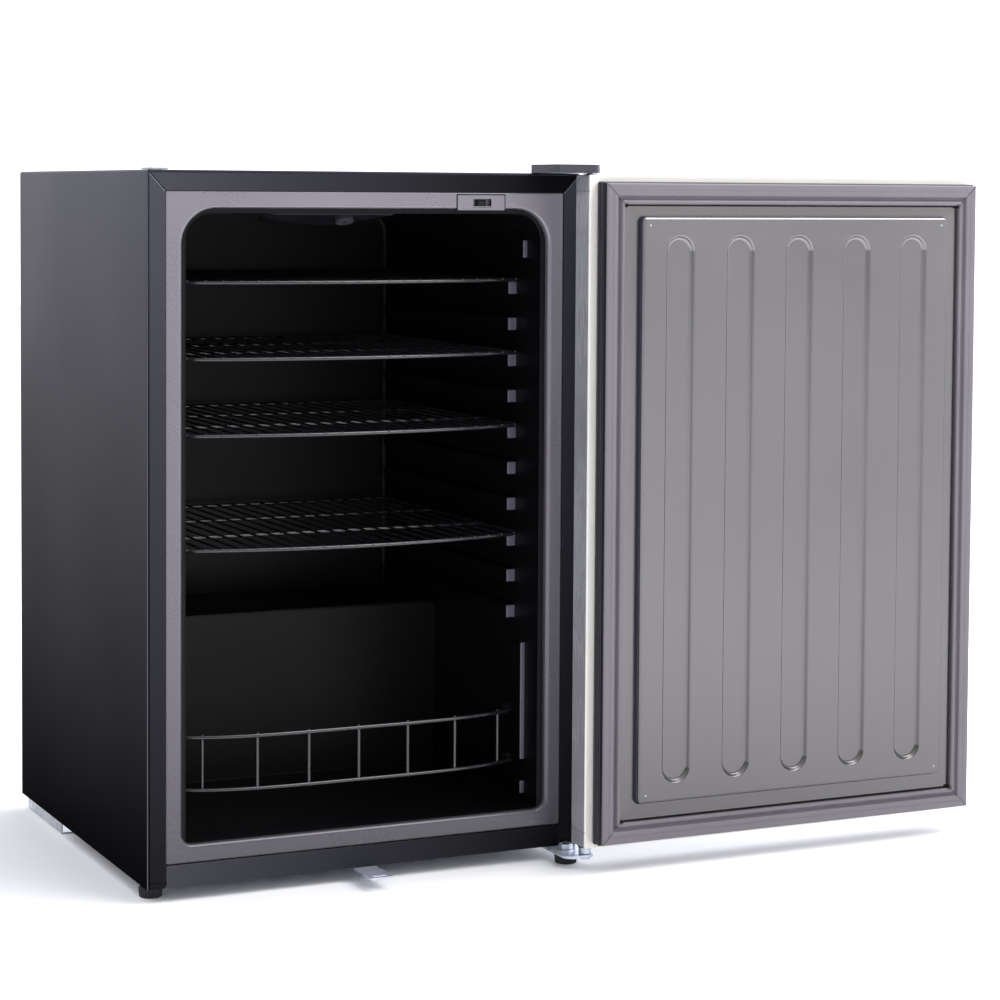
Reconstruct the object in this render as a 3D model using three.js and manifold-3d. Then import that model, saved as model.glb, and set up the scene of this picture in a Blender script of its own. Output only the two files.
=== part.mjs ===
// A compact beverage fridge with its door swung fully open: a folded steel cabinet around a foamed plastic
// liner, four wire shelves, a wire bottle guard, and the cooling circuit in a bay at the lower back.
// Units are millimetres. Inside the cabinet group x runs across the front from the cabinet's left side,
// y runs from its front face to the back, and z runs up from the lower edge of its side panels. The group
// is drawn for a 500 wide cabinet, then enlarged as a whole to the 540 wide one.

import * as THREE from 'three';
import Module from 'manifold-3d';
import { mergeVertices } from 'three/addons/utils/BufferGeometryUtils.js';

const wasm = await Module();
wasm.setup();

// ---- Driving dimensions ---------------------------------------------------------------------------

const FULL_SIZE = 1.08; // enlarges the drawing to the real fridge
const WIDTH = 500;
const DEPTH = 494;
const HEIGHT = 750;
const FOOT_HEIGHT = 15.5;
const REAR_REACH = 515; // how far the parts on the back panel stand back
const GAP = 0.3; // clearance between two pieces that touch
const SHEET = 1; // steel sheet of the wrap, back, base and door skin

const FLANGE = 21.3; // width of the wrap's folded front flange
const KICK_TOP = 24;
const FRAME_FRONT = 0.6; // the throat frame sits just behind the flange's face
const FRAME_BACK = 8.7;
const OPENING = { left: 39, right: 461, bottom: 43, top: 710.5, lowRadius: 12, highRadius: 38 };

const LINER = { left: 45, right: 455, bottom: 40, top: 705, back: 445, lowRadius: 7, highRadius: 28 };
const LINER_FRONT = 9;
const LINER_WALL = 1.5;
const HUMP = { front: 295, top: 237 }; // the step over the compressor bay
const BAY = { front: 330, top: 200 };

const LEDGE = { count: 10, highest: 629, pitch: 40.7, height: 14.5, reach: 10, front: 69, back: 430 };
const SHORT_RIB = { reach: 5, front: 42, back: 58, heights: [[52, 67], [91, 224], [656, 676]] };
const EVAPORATOR = { left: 60, right: 440, back: 449.3, bottom: 260, top: 690 };
const SHELF_LEDGES = [0, 2, 4, 7]; // which ledges carry a shelf, counted from the top
const SHELF = { left: 46.5, right: 453.5, endY: 47, bow: 33, back: 428, rod: 5, slots: 20 };
const GUARD = { left: 52, right: 448, low: 89, high: 146, endY: 56, bowY: 30, rod: 2.2, posts: 7, pitch: 58 };

const HINGE = { x: 490, y: -42 }; // the door turns about this upright line
const DOOR = { left: 480, right: 980, back: -27, front: -61, bottom: 9, top: 748.5, lip: 15 };
const PANEL = { margin: 9, marginY: -62.5, stepY: -77.5, panY: -88, sheet: 1.2 };
const PAN = { left: 532, right: 928, bottom: 59.5, top: 703, radius: 12 };
const GROOVE = { count: 5, pitch: 75.7, halfWidth: 18.2, depth: 4.5, bottom: 79, top: 683.5 };
const GASKET = { outset: 8.3, width: 24.7, base: -62.8, step: -76, face: -83.5, inset: 2 };
const HANDLE = { x: 950, y: 10, low: 430, high: 690, radius: 6, post: 5 };

const SWITCH = { left: 351, right: 407, bottom: 709, top: 725.3, windowLeft: 369, windowRight: 391 };
const LAMP = { x: 229.5, y: 130, half: 74, lowHalf: 33, drop: 12.7, wall: 1.5 };
const DIAL_X = 249;

const LOCK = { x: 735, bolt: -43, keyZ: 32, halfBolt: 6.5, plug: 7, back: -50 };
const STRIKE = { left: 232, right: 258, front: -48, back: 40, sheet: 2 };
const FEET = { left: { x: 14.5, y: 34 }, right: { x: 480, y: -15 }, stem: 4, nutTop: 5.5 };
const HINGE_SCREWS = { x: 481, front: 12, rear: 33, radius: 2.2 };
const HINGE_PIN_HOLE = 3.8;
const BUSH = { bore: 3.6, outer: 5, flange: 8, sleeve: 14 };

const CONDENSER = { y: 506, radius: 2.6, left: 80, right: 440, top: 690, rows: 9, pitch: 50, bend: 24 };
const FEEDER = { x: 60, joint: 215 }; // the pipe up the coil's left side; joint is its lower end
const STRIPS = { left: 130, right: 370, half: 6, bottom: 260, top: 712 };
const DRIER = { bottom: 75, top: 184.7, radius: 9 };
const COMPRESSOR = { x: 350, y: 412, radius: 62, base: 16, top: 160, footX: 78, footY: 39 };
const TRAY = { halfX: 66, halfY: 60, bottom: 163, top: 188, wall: 2 };
const DRAIN = { y: 430, radius: 6, bore: 4.4 };
const GLAND = { x: 150, z: 222, bore: 3.6 };

const ROUND = 24; // sides of a round piece that turns or shows

// ---- Solids ---------------------------------------------------------------------------------------

// Turns a closed geometry into a solid that can be joined and cut.
function solid(geometry) {
  const bare = geometry.clone();
  for (const name of ['normal', 'uv']) {
    bare.deleteAttribute(name);
  }
  const merged = mergeVertices(bare, 1e-4);
  const mesh = new wasm.Mesh({
    numProp: 3,
    vertProperties: new Float32Array(merged.attributes.position.array),
    triVerts: new Uint32Array(merged.index.array),
  });
  return new wasm.Manifold(mesh);
}

// Turns a joined or cut solid back into a geometry.
function geometryOf(body) {
  const mesh = body.getMesh();
  const geometry = new THREE.BufferGeometry();
  geometry.setAttribute('position', new THREE.BufferAttribute(new Float32Array(mesh.vertProperties), 3));
  geometry.setIndex(new THREE.BufferAttribute(new Uint32Array(mesh.triVerts), 1));
  geometry.computeVertexNormals();
  return geometry;
}

function join(...geometries) {
  return geometryOf(geometries.map(solid).reduce((all, next) => all.add(next)));
}

function cut(geometry, ...tools) {
  return geometryOf(tools.map(solid).reduce((all, tool) => all.subtract(tool), solid(geometry)));
}

// ---- Basic shapes ---------------------------------------------------------------------------------

function block(x0, x1, y0, y1, z0, z1) {
  const geometry = new THREE.BoxGeometry(x1 - x0, y1 - y0, z1 - z0);
  return geometry.translate((x0 + x1) / 2, (y0 + y1) / 2, (z0 + z1) / 2);
}

function outline(points) {
  return new THREE.Shape(points.map(([u, v]) => new THREE.Vector2(u, v)));
}

// A rectangle with one radius at its two lower corners and another at its two upper ones.
function roundedRect(u0, u1, v0, v1, low, high = low) {
  const shape = new THREE.Shape();
  shape.moveTo(u0 + low, v0);
  shape.lineTo(u1 - low, v0);
  shape.absarc(u1 - low, v0 + low, low, -Math.PI / 2, 0);
  shape.lineTo(u1, v1 - high);
  shape.absarc(u1 - high, v1 - high, high, 0, Math.PI / 2);
  shape.lineTo(u0 + high, v1);
  shape.absarc(u0 + high, v1 - high, high, Math.PI / 2, Math.PI);
  shape.lineTo(u0, v0 + low);
  shape.absarc(u0 + low, v0 + low, low, Math.PI, 1.5 * Math.PI);
  return shape;
}

// Carries an outline drawn in x and z from y0 to y1.
function alongY(shape, y0, y1, curveSegments = 3) {
  const geometry = new THREE.ExtrudeGeometry(shape, { depth: y1 - y0, bevelEnabled: false, curveSegments });
  return geometry.rotateX(Math.PI / 2).translate(0, y1, 0);
}

// Carries an outline drawn in x and y from z0 to z1.
function alongZ(shape, z0, z1, curveSegments = 3) {
  const geometry = new THREE.ExtrudeGeometry(shape, { depth: z1 - z0, bevelEnabled: false, curveSegments });
  return geometry.translate(0, 0, z0);
}

// Carries an outline drawn in y and z from x0 to x1.
function alongX(shape, x0, x1) {
  const geometry = new THREE.ExtrudeGeometry(shape, { depth: x1 - x0, bevelEnabled: false });
  return geometry.rotateX(Math.PI / 2).rotateZ(Math.PI / 2).translate(x0, 0, 0);
}

// Turns a profile of [radius, height] points about an upright line.
function turned(x, y, profile, sides = ROUND) {
  const points = profile.map(([r, z]) => new THREE.Vector2(r, z));
  return new THREE.LatheGeometry(points, sides).rotateX(Math.PI / 2).translate(x, y, 0);
}

function uprightRod(x, y, z0, z1, radius, sides = ROUND) {
  const geometry = new THREE.CylinderGeometry(radius, radius, z1 - z0, sides);
  return geometry.rotateX(Math.PI / 2).translate(x, y, (z0 + z1) / 2);
}

function rodAlongY(x, z, y0, y1, radius, sides = ROUND) {
  return new THREE.CylinderGeometry(radius, radius, y1 - y0, sides).translate(x, (y0 + y1) / 2, z);
}

// A path through given points, one step for each, with its direction halved between neighbours.
class Route extends THREE.Curve {
  constructor(points) {
    super();
    this.points = points;
  }

  getPoint(t, target = new THREE.Vector3()) {
    const place = t * (this.points.length - 1);
    const i = Math.min(Math.floor(place), this.points.length - 2);
    return target.lerpVectors(this.points[i], this.points[i + 1], place - i);
  }

  getPointAt(u, target) {
    return this.getPoint(u, target);
  }

  getTangentAt(u, target = new THREE.Vector3()) {
    const last = this.points.length - 1;
    const i = Math.round(u * last);
    const before = this.points[i].clone().sub(this.points[Math.max(i - 1, 0)]).normalize();
    const after = this.points[Math.min(i + 1, last)].clone().sub(this.points[i]).normalize();
    return target.copy(before).add(after).normalize();
  }
}

// Rounds the corners of a run of points with arcs of the given radius.
function withBends(corners, radius, steps = 4) {
  const points = corners.map((p) => new THREE.Vector3(...p));
  const path = [points[0]];
  for (let i = 1; i < points.length - 1; i += 1) {
    const into = points[i - 1].clone().sub(points[i]).normalize();
    const out = points[i + 1].clone().sub(points[i]).normalize();
    const half = into.angleTo(out) / 2;
    const middle = into.clone().add(out).normalize().multiplyScalar(radius / Math.sin(half)).add(points[i]);
    const start = into.clone().multiplyScalar(radius / Math.tan(half)).add(points[i]).sub(middle);
    const end = out.clone().multiplyScalar(radius / Math.tan(half)).add(points[i]).sub(middle);
    const turn = start.angleTo(end);
    for (let s = 0; s <= steps; s += 1) {
      const a = start.clone().multiplyScalar(Math.sin((1 - s / steps) * turn) / Math.sin(turn));
      const b = end.clone().multiplyScalar(Math.sin((s / steps) * turn) / Math.sin(turn));
      path.push(a.add(b).add(middle));
    }
  }
  path.push(points[points.length - 1]);
  return path;
}

// A round tube through a list of points, with one ring of its section at each.
function tubeThrough(points, radius, sides) {
  const section = new THREE.Shape();
  section.absarc(0, 0, radius, 0, 2 * Math.PI);
  return new THREE.ExtrudeGeometry(section, {
    steps: points.length - 1,
    extrudePath: new Route(points),
    curveSegments: sides / 2,
    bevelEnabled: false,
  });
}

function tube(corners, bend, radius, sides = 8) {
  return tubeThrough(withBends(corners, bend), radius, sides);
}

// ---- Placing --------------------------------------------------------------------------------------

const fridge = new THREE.Group();
fridge.position.set(-(DOOR.right / 2), -(PANEL.panY + REAR_REACH) / 2, FOOT_HEIGHT);
fridge.position.multiplyScalar(FULL_SIZE);
fridge.scale.setScalar(FULL_SIZE);

const BLACK_STEEL = { color: 0x232327, roughness: 0.42, metalness: 0.1 };
const STAINLESS = { color: 0xb9b9bc, roughness: 0.3, metalness: 1 };
const ZINC = { color: 0xb8bcc6, roughness: 0.35, metalness: 0.9 };
const BLACK_PLASTIC = { color: 0x121215, roughness: 0.5, metalness: 0 };
const GREY_PLASTIC = { color: 0x97959b, roughness: 0.45, metalness: 0.05 };
const DARK_GREY_PLASTIC = { color: 0x46464f, roughness: 0.5, metalness: 0 };
const RUBBER = { color: 0x8a878d, roughness: 0.7, metalness: 0 };
const BLACK_RUBBER = { color: 0x1b1b1b, roughness: 0.85, metalness: 0 };
const FOAM = { color: 0xe0cf96, roughness: 0.95, metalness: 0 };
const COPPER = { color: 0xb4713f, roughness: 0.35, metalness: 1 };
const COATED_WIRE = { color: 0x17171a, roughness: 0.4, metalness: 0.1 };

function place(name, geometry, finish) {
  const mesh = new THREE.Mesh(geometry, new THREE.MeshStandardMaterial(finish));
  mesh.name = name;
  fridge.add(mesh);
}

// ---- Cabinet shell --------------------------------------------------------------------------------

function outerWrap() {
  const fold = outline([
    [0, 0], [SHEET, 0], [SHEET, HEIGHT - SHEET], [WIDTH - SHEET, HEIGHT - SHEET],
    [WIDTH - SHEET, 0], [WIDTH, 0], [WIDTH, HEIGHT], [0, HEIGHT],
  ]);
  const mitre = 3;
  const flange = outline([
    [0, 0], [FLANGE, 0], [FLANGE, HEIGHT - FLANGE - mitre], [FLANGE + mitre, HEIGHT - FLANGE],
    [WIDTH - FLANGE - mitre, HEIGHT - FLANGE], [WIDTH - FLANGE, HEIGHT - FLANGE - mitre],
    [WIDTH - FLANGE, 0], [WIDTH, 0], [WIDTH, HEIGHT], [0, HEIGHT],
  ]);
  return join(alongY(fold, 0, DEPTH), alongY(flange, 0, SHEET));
}

function backPanel() {
  const edge = SHEET + GAP;
  return block(edge, WIDTH - edge, DEPTH - SHEET, DEPTH, BAY.top, HEIGHT - edge);
}

function basePlate() {
  const edge = SHEET + GAP;
  return block(edge, WIDTH - edge, 2, BAY.front - GAP, 0, SHEET);
}

// The steel step that walls off the compressor bay from the foam.
function bayPanel() {
  const y1 = BAY.front + SHEET;
  const profile = outline([
    [BAY.front, 0], [y1, 0], [y1, BAY.top - SHEET - GAP], [DEPTH - SHEET - GAP, BAY.top - SHEET - GAP],
    [DEPTH - SHEET - GAP, BAY.top - GAP], [BAY.front, BAY.top - GAP],
  ]);
  const edge = SHEET + GAP;
  const drain = uprightRod(COMPRESSOR.x, DRAIN.y, BAY.top - 10, BAY.top + 10, DRAIN.radius + 1, 16);
  return cut(alongX(profile, edge, WIDTH - edge), drain);
}

function kickBand() {
  return block(FLANGE + GAP, WIDTH - FLANGE - GAP, 0.2, 1.4, 0, KICK_TOP);
}

// A channel across the bay: its raised middle carries the compressor and its low ends are the rear skids.
function compressorPlate() {
  const sheet = 1.5;
  const low = -FOOT_HEIGHT;
  const raised = -2;
  const inset = 4;
  const skid = 44;
  const half = [
    [inset, -GAP], [inset, low], [skid, low], [skid, raised - sheet],
  ];
  const upper = [
    [skid - sheet, raised], [skid - sheet, low + sheet], [inset + sheet, low + sheet], [inset + sheet, -GAP],
  ];
  const mirror = (points) => points.map(([x, z]) => [WIDTH - x, z]).reverse();
  return alongY(outline([...half, ...mirror(half), ...mirror(upper), ...upper]), 336, 480);
}

function linerPrism(grow, y0, y1) {
  const shape = roundedRect(
    LINER.left - grow, LINER.right + grow, LINER.bottom - grow, LINER.top + grow,
    LINER.lowRadius + grow, LINER.highRadius + grow,
  );
  return alongY(shape, y0, y1);
}

function humpBlock(inset) {
  return block(0, WIDTH, HUMP.front + inset, DEPTH, 0, HUMP.top - inset);
}

// Shelf ledges and the short ribs near the throat, on one side wall.
function wallRibs(mirrored) {
  const ribs = [];
  const rib = (reach, y0, y1, z0, z1) => {
    const x0 = LINER.right - reach;
    const x1 = LINER.right + LINER_WALL / 2;
    ribs.push(mirrored ? block(WIDTH - x1, WIDTH - x0, y0, y1, z0, z1) : block(x0, x1, y0, y1, z0, z1));
  };
  for (let i = 0; i < LEDGE.count; i += 1) {
    const top = LEDGE.highest - i * LEDGE.pitch;
    rib(LEDGE.reach, LEDGE.front, LEDGE.back, top - LEDGE.height, top);
  }
  for (const [low, high] of SHORT_RIB.heights) {
    rib(SHORT_RIB.reach, SHORT_RIB.front, SHORT_RIB.back, low, high);
  }
  return ribs;
}

function liner() {
  const outside = cut(linerPrism(LINER_WALL, LINER_FRONT, LINER.back + LINER_WALL), humpBlock(LINER_WALL));
  const cavity = cut(linerPrism(0, LINER_FRONT - 1, LINER.back), humpBlock(0));
  const drain = uprightRod(COMPRESSOR.x, DRAIN.y, HUMP.top - 10, HUMP.top + 5, DRAIN.radius + GAP, 16);
  return cut(join(cut(outside, cavity), ...wallRibs(false), ...wallRibs(true)), drain);
}

function cabinetFoam() {
  const edge = SHEET + GAP;
  const whole = block(edge, WIDTH - edge, LINER_FRONT + GAP, DEPTH - edge, edge, HEIGHT - edge);
  const grown = LINER_WALL + GAP;
  const core = cut(linerPrism(grown, LINER_FRONT - 1, LINER.back + grown), humpBlock(grown));
  const bay = block(0, WIDTH, BAY.front - GAP, DEPTH + 1, 0, BAY.top);
  const drain = uprightRod(COMPRESSOR.x, DRAIN.y, BAY.top - 5, HUMP.top, DRAIN.radius + 0.5, 16);
  const evaporator = evaporatorBlock(LINER.back, GAP);
  return cut(whole, core, bay, drain, evaporator);
}

// The room that the evaporator plate takes, from a given y back, grown all round.
function evaporatorBlock(front, grow) {
  const { left, right, back, bottom, top } = EVAPORATOR;
  return block(left - grow, right + grow, front, back + grow, bottom - grow, top + grow);
}

function evaporatorPlate() {
  return evaporatorBlock(LINER.back + LINER_WALL + GAP, 0);
}

function throatFrame() {
  const frame = outline([
    [FLANGE + GAP, KICK_TOP + GAP], [WIDTH - FLANGE - GAP, KICK_TOP + GAP],
    [WIDTH - FLANGE - GAP, HEIGHT - FLANGE - GAP], [FLANGE + GAP, HEIGHT - FLANGE - GAP],
  ]);
  const hole = roundedRect(
    OPENING.left, OPENING.right, OPENING.bottom, OPENING.top, OPENING.lowRadius, OPENING.highRadius,
  );
  const ring = cut(alongY(frame, FRAME_FRONT + 0.6, FRAME_BACK), alongY(hole, -1, DEPTH, 5));
  const { left, right, bottom, top } = SWITCH;
  return cut(ring, block(left - GAP, right + GAP, -1, DEPTH, bottom - 1, top + GAP));
}

// ---- Shelves and bottle guard ---------------------------------------------------------------------

// y of the shelf's bowed front rod at a given x.
function shelfFront(x) {
  const middle = (SHELF.left + SHELF.right) / 2;
  const u = (x - middle) / (SHELF.right - middle);
  return SHELF.endY - SHELF.bow * (1 - u * u);
}

// A flat grid: the outer rods and the wires from front to back, with the slots between them open.
function shelf(ledgeIndex) {
  const steps = 12;
  const span = SHELF.right - SHELF.left;
  const rim = [];
  for (let i = 0; i <= steps; i += 1) {
    const x = SHELF.left + (span * i) / steps;
    rim.push([x, shelfFront(x)]);
  }
  const shape = outline([...rim, [SHELF.right, SHELF.back], [SHELF.left, SHELF.back]]);
  const wire = 3;
  const pitch = (span - 2 * SHELF.rod + wire) / SHELF.slots;
  const low = LEDGE.highest - ledgeIndex * LEDGE.pitch + GAP;
  const slots = [];
  for (let i = 0; i < SHELF.slots; i += 1) {
    const x0 = SHELF.left + SHELF.rod + i * pitch;
    const x1 = x0 + pitch - wire;
    const start = Math.max(shelfFront(x0), shelfFront(x1)) + SHELF.rod;
    slots.push(block(x0, x1, start, SHELF.back - SHELF.rod, low - 1, low + SHELF.rod + 1));
  }
  return cut(alongZ(shape, low, low + SHELF.rod), ...slots);
}

function bottleGuard() {
  const middle = (GUARD.left + GUARD.right) / 2;
  const bow = (x) => {
    const u = (x - middle) / (GUARD.right - middle);
    return GUARD.endY - (GUARD.endY - GUARD.bowY) * (1 - u ** 4);
  };
  const steps = 10;
  const corners = [];
  for (let i = 0; i <= steps; i += 1) {
    const x = GUARD.left + ((GUARD.right - GUARD.left) * i) / steps;
    corners.push([x, bow(x)]);
  }
  const rail = (z) => tubeThrough(corners.map(([x, y]) => new THREE.Vector3(x, y, z)), GUARD.rod, 6);
  const posts = [];
  for (let i = 0; i < GUARD.posts; i += 1) {
    const x = middle + (i - (GUARD.posts - 1) / 2) * GUARD.pitch;
    posts.push(uprightRod(x, bow(x) + 1, GUARD.low - 3, GUARD.high + 3, GUARD.rod * 0.9, 6));
  }
  return join(rail(GUARD.low), rail(GUARD.high), ...posts);
}

// ---- Light switch, lamp and thermostat ------------------------------------------------------------

function switchBezel() {
  const { left, right, bottom, top, windowLeft, windowRight } = SWITCH;
  const window = block(windowLeft, windowRight, -1, 6.5, bottom + 2.5, top - 3.8);
  return cut(block(left, right, 0.5, 8.5, bottom, top), window);
}

function switchSlider() {
  const x = SWITCH.windowLeft + 4.8;
  const z = SWITCH.bottom + 3.3;
  return join(block(x + 1.5, x + 11.7, 1.5, 5, z + 1.7, z + 6.7), block(x, x + 13.2, 4.6, 6.2, z, z + 8.4));
}

function lampFrustum(shrink, drop) {
  const diagonal = Math.SQRT2;
  const geometry = new THREE.CylinderGeometry(
    (LAMP.half - shrink) * diagonal, (LAMP.lowHalf - shrink) * diagonal, LAMP.drop, 4,
  );
  geometry.rotateY(Math.PI / 4).rotateX(Math.PI / 2);
  return geometry.translate(LAMP.x, LAMP.y, LINER.top - GAP - LAMP.drop / 2 + drop);
}

// The dial stands square on the housing's front slope.
function onLampSlope(geometry) {
  const slope = Math.atan2(LAMP.drop, LAMP.half - LAMP.lowHalf);
  const middle = LAMP.y - (LAMP.half + LAMP.lowHalf) / 2;
  return geometry.rotateX(Math.PI / 2 - slope).translate(DIAL_X, middle, LINER.top - GAP - LAMP.drop / 2);
}

function lampHousing() {
  const spindle = onLampSlope(new THREE.CylinderGeometry(3.5, 3.5, 12, 16));
  return cut(lampFrustum(0, 0), lampFrustum(LAMP.wall, LAMP.wall), spindle);
}

function thermostatDial() {
  const knob = new THREE.CylinderGeometry(10, 10, 4, ROUND).translate(0, -2.4, 0);
  const spindle = new THREE.CylinderGeometry(3, 3, 6, 16);
  return onLampSlope(join(knob, spindle));
}

function ledBoard() {
  return block(201, 258, 108, 152, 696, 697.6);
}

// ---- Compressor bay -------------------------------------------------------------------------------

function compressor() {
  const r = COMPRESSOR.radius;
  const { x, y, base, top } = COMPRESSOR;
  const seam = (base + top) / 2;
  const wall = r * 0.97;
  const profile = [
    [0, base + 4], [r * 0.55, base + 6], [r * 0.86, base + 16], [wall, base + 32], [wall, seam - 3],
    [r, seam - 3], [r, seam + 3], [wall, seam + 3], [r * 0.95, top - 34], [r * 0.82, top - 15],
    [r * 0.52, top - 4], [0, top],
  ];
  const footPlate = roundedRect(x - 92, x + 92, y - 52, y + 52, 14);
  return join(turned(x, y, profile), alongZ(footPlate, base, base + 6, 3));
}

function grommet(sideX, sideY) {
  const profile = [[0, -1.7], [10, -1.7], [10, 5], [7, 7], [7, 12], [9, 15.7], [0, 15.7]];
  const { x, y, footX, footY } = COMPRESSOR;
  return turned(x + sideX * footX, y + sideY * footY, profile, 16);
}

function relayCover() {
  return alongX(roundedRect(388, 436, 55, 118, 6), 254, COMPRESSOR.x - COMPRESSOR.radius - GAP);
}

function dripTray() {
  const { x, y } = COMPRESSOR;
  const { halfX, halfY, bottom, top, wall } = TRAY;
  const plan = (inset) => roundedRect(
    x - halfX + inset, x + halfX - inset, y - halfY + inset, y + halfY - inset, 12 - inset,
  );
  return cut(alongZ(plan(0), bottom, top), alongZ(plan(wall), bottom + wall, top + 2));
}

function drainTube() {
  const pipe = (radius, z0, z1) => uprightRod(COMPRESSOR.x, DRAIN.y, z0, z1, radius, 16);
  return cut(pipe(DRAIN.radius, 172, HUMP.top - 1), pipe(DRAIN.bore, 160, HUMP.top + 5));
}

function suctionLine() {
  return tube([[412, 440, 100], [455, 440, 100], [455, 440, BAY.top - SHEET - 2 * GAP]], 14, 4);
}

function dischargeLine() {
  const corners = [
    [292, 446, 60], [236, 446, 60], [236, 476, 60], [FEEDER.x, 476, 60], [FEEDER.x, CONDENSER.y, 60],
    [FEEDER.x, CONDENSER.y, FEEDER.joint - GAP],
  ];
  return tube(corners, 12, 2.6, 6);
}

// A serpentine of tube behind the back panel: up the left side, then across and down row by row.
function condenserCoil() {
  const { y, left, right, top, rows, pitch } = CONDENSER;
  const corners = [[FEEDER.x, y, FEEDER.joint], [FEEDER.x, y, top]];
  for (let i = 0; i < rows; i += 1) {
    const z = top - i * pitch;
    const ends = i % 2 ? [right, left] : [left, right];
    if (i > 0) {
      corners.push([ends[0], y, z]);
    }
    corners.push([ends[1], y, z]);
  }
  corners.push([right, y, DRIER.top + GAP]);
  return tube(corners, CONDENSER.bend, CONDENSER.radius, 6);
}

function condenserStrip(x) {
  const { half, bottom, top } = STRIPS;
  return block(x - half, x + half, DEPTH + GAP, CONDENSER.y - CONDENSER.radius - GAP, bottom, top);
}

function filterDrier() {
  const { bottom, top, radius } = DRIER;
  const neck = 2.4;
  const profile = [
    [0, bottom], [neck, bottom], [neck, bottom + 10], [radius, bottom + 21], [radius, top - 16.7],
    [neck, top - 6.7], [neck, top], [0, top],
  ];
  return turned(CONDENSER.right, CONDENSER.y, profile, 16);
}

function capillaryTube() {
  const corners = [
    [CONDENSER.right, CONDENSER.y, DRIER.bottom - GAP], [CONDENSER.right, CONDENSER.y, 40],
    [CONDENSER.right, 478, 40], [474, 478, 40], [474, 478, BAY.top - SHEET - 2 * GAP],
  ];
  return tube(corners, 8, 1.3, 6);
}

function cordGland() {
  const round = (radius, y0, y1) => rodAlongY(GLAND.x, GLAND.z, y0, y1, radius, 16);
  const collar = round(9, DEPTH + GAP, DEPTH + 4);
  return cut(join(collar, round(6.5, DEPTH + 2, DEPTH + 14)), round(GLAND.bore, DEPTH + 5, DEPTH + 16));
}

// ---- Feet, hinges, lock strike --------------------------------------------------------------------

function levellingFoot({ x, y }, stemTop) {
  const low = -FOOT_HEIGHT;
  const profile = [
    [0, low], [11.4, low], [12.4, low + 1.2], [13, low + 9.6], [12, low + 10.8],
    [FEET.stem, low + 10.8], [FEET.stem, stemTop], [0, stemTop],
  ];
  return turned(x, y, profile);
}

function footNut({ x, y }) {
  return cut(uprightRod(x, y, 0, FEET.nutTop, 8, 6), uprightRod(x, y, -1, 7, FEET.stem + GAP, ROUND));
}

function hingePlateOutline() {
  const shape = new THREE.Shape();
  const left = 463;
  const right = WIDTH - 1;
  const back = 44;
  shape.moveTo(left, back);
  shape.lineTo(left, HINGE.y + 5);
  shape.absarc(left + 12, HINGE.y + 3, 12, Math.PI, 1.5 * Math.PI);
  shape.lineTo(HINGE.x, HINGE.y - 9);
  shape.absarc(HINGE.x, HINGE.y, 9, -Math.PI / 2, 0);
  shape.lineTo(right, back);
  return shape;
}

function bottomHingePlate() {
  const plate = alongZ(hingePlateOutline(), -3 - GAP, -GAP);
  const pin = uprightRod(HINGE.x, HINGE.y, -10, 10, HINGE_PIN_HOLE);
  const stem = uprightRod(FEET.right.x, FEET.right.y, -10, 10, FEET.stem + GAP);
  const { x, front, rear, radius } = HINGE_SCREWS;
  const screws = [front, rear].map((y) => uprightRod(x, y, -10, 10, radius + GAP, 12));
  return cut(plate, pin, stem, ...screws);
}

function bottomHingePin() {
  const pin = HINGE_PIN_HOLE - GAP;
  const profile = [
    [0, -6], [6, -6], [6, -3.6], [pin, -3.6], [pin, 0], [7, 0], [7, 6.6], [pin, 6.6], [pin, 21], [0, 21],
  ];
  return turned(HINGE.x, HINGE.y, profile);
}

function hingeScrew(y) {
  const shank = HINGE_SCREWS.radius;
  const profile = [[0, -5.8], [2.5, -5.8], [4.6, -3.6], [shank, -3.6], [shank, -GAP], [0, -GAP]];
  return turned(HINGE_SCREWS.x, y, profile, 16);
}

function topHingeBracket() {
  const shape = new THREE.Shape();
  shape.moveTo(472, 52);
  shape.lineTo(472, 6);
  shape.lineTo(452, 6);
  shape.lineTo(452, -10);
  shape.lineTo(478, -36);
  shape.absarc(488, -42, 8.5, Math.PI, 2 * Math.PI);
  shape.lineTo(496.5, 52);
  const hole = uprightRod(HINGE.x, HINGE.y, HEIGHT - 5, HEIGHT + 5, HINGE_PIN_HOLE);
  return cut(alongZ(shape, HEIGHT + GAP, HEIGHT + 3), hole);
}

function topHingePin() {
  const z = HEIGHT;
  const pin = HINGE_PIN_HOLE - GAP;
  const profile = [[0, z - 14], [pin, z - 14], [pin, z + 3.3], [5.8, z + 3.3], [5.8, z + 5.3], [0, z + 5.3]];
  return turned(HINGE.x, HINGE.y, profile);
}

// The cover's plan: square with rounded front corners and a long chamfer at its back left.
function coverPlan(inset) {
  const shape = new THREE.Shape();
  const left = 443 + inset;
  const right = 499.5 - inset;
  const front = -57 + inset;
  const back = 58 - inset;
  const r = 13 - inset;
  shape.moveTo(right - r, front);
  shape.absarc(right - r, front + r, r, -Math.PI / 2, 0);
  shape.lineTo(right, back);
  shape.lineTo(467 + inset * 0.7, back);
  shape.lineTo(left, 8);
  shape.lineTo(left, front + 2);
  shape.lineTo(left + 2, front);
  return shape;
}

function hingeCover() {
  const wall = 2;
  const outside = alongZ(coverPlan(0), HEIGHT + GAP, HEIGHT + 9.5);
  return cut(outside, alongZ(coverPlan(wall), HEIGHT - 1, HEIGHT + 9.5 - wall));
}

function hingeHolePlug() {
  return alongZ(roundedRect(4, 26, 4, 34, 4), HEIGHT + GAP, HEIGHT + 2.3, 3);
}

function lockStrike() {
  const { left, right, front, back, sheet } = STRIKE;
  const tab = alongZ(roundedRect(left, right, front, back, 3), -sheet - GAP, -GAP, 3);
  return cut(tab, block(left + 5, right - 5, front + 4, front + 10, -5, 5));
}

// ---- Door -----------------------------------------------------------------------------------------

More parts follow.
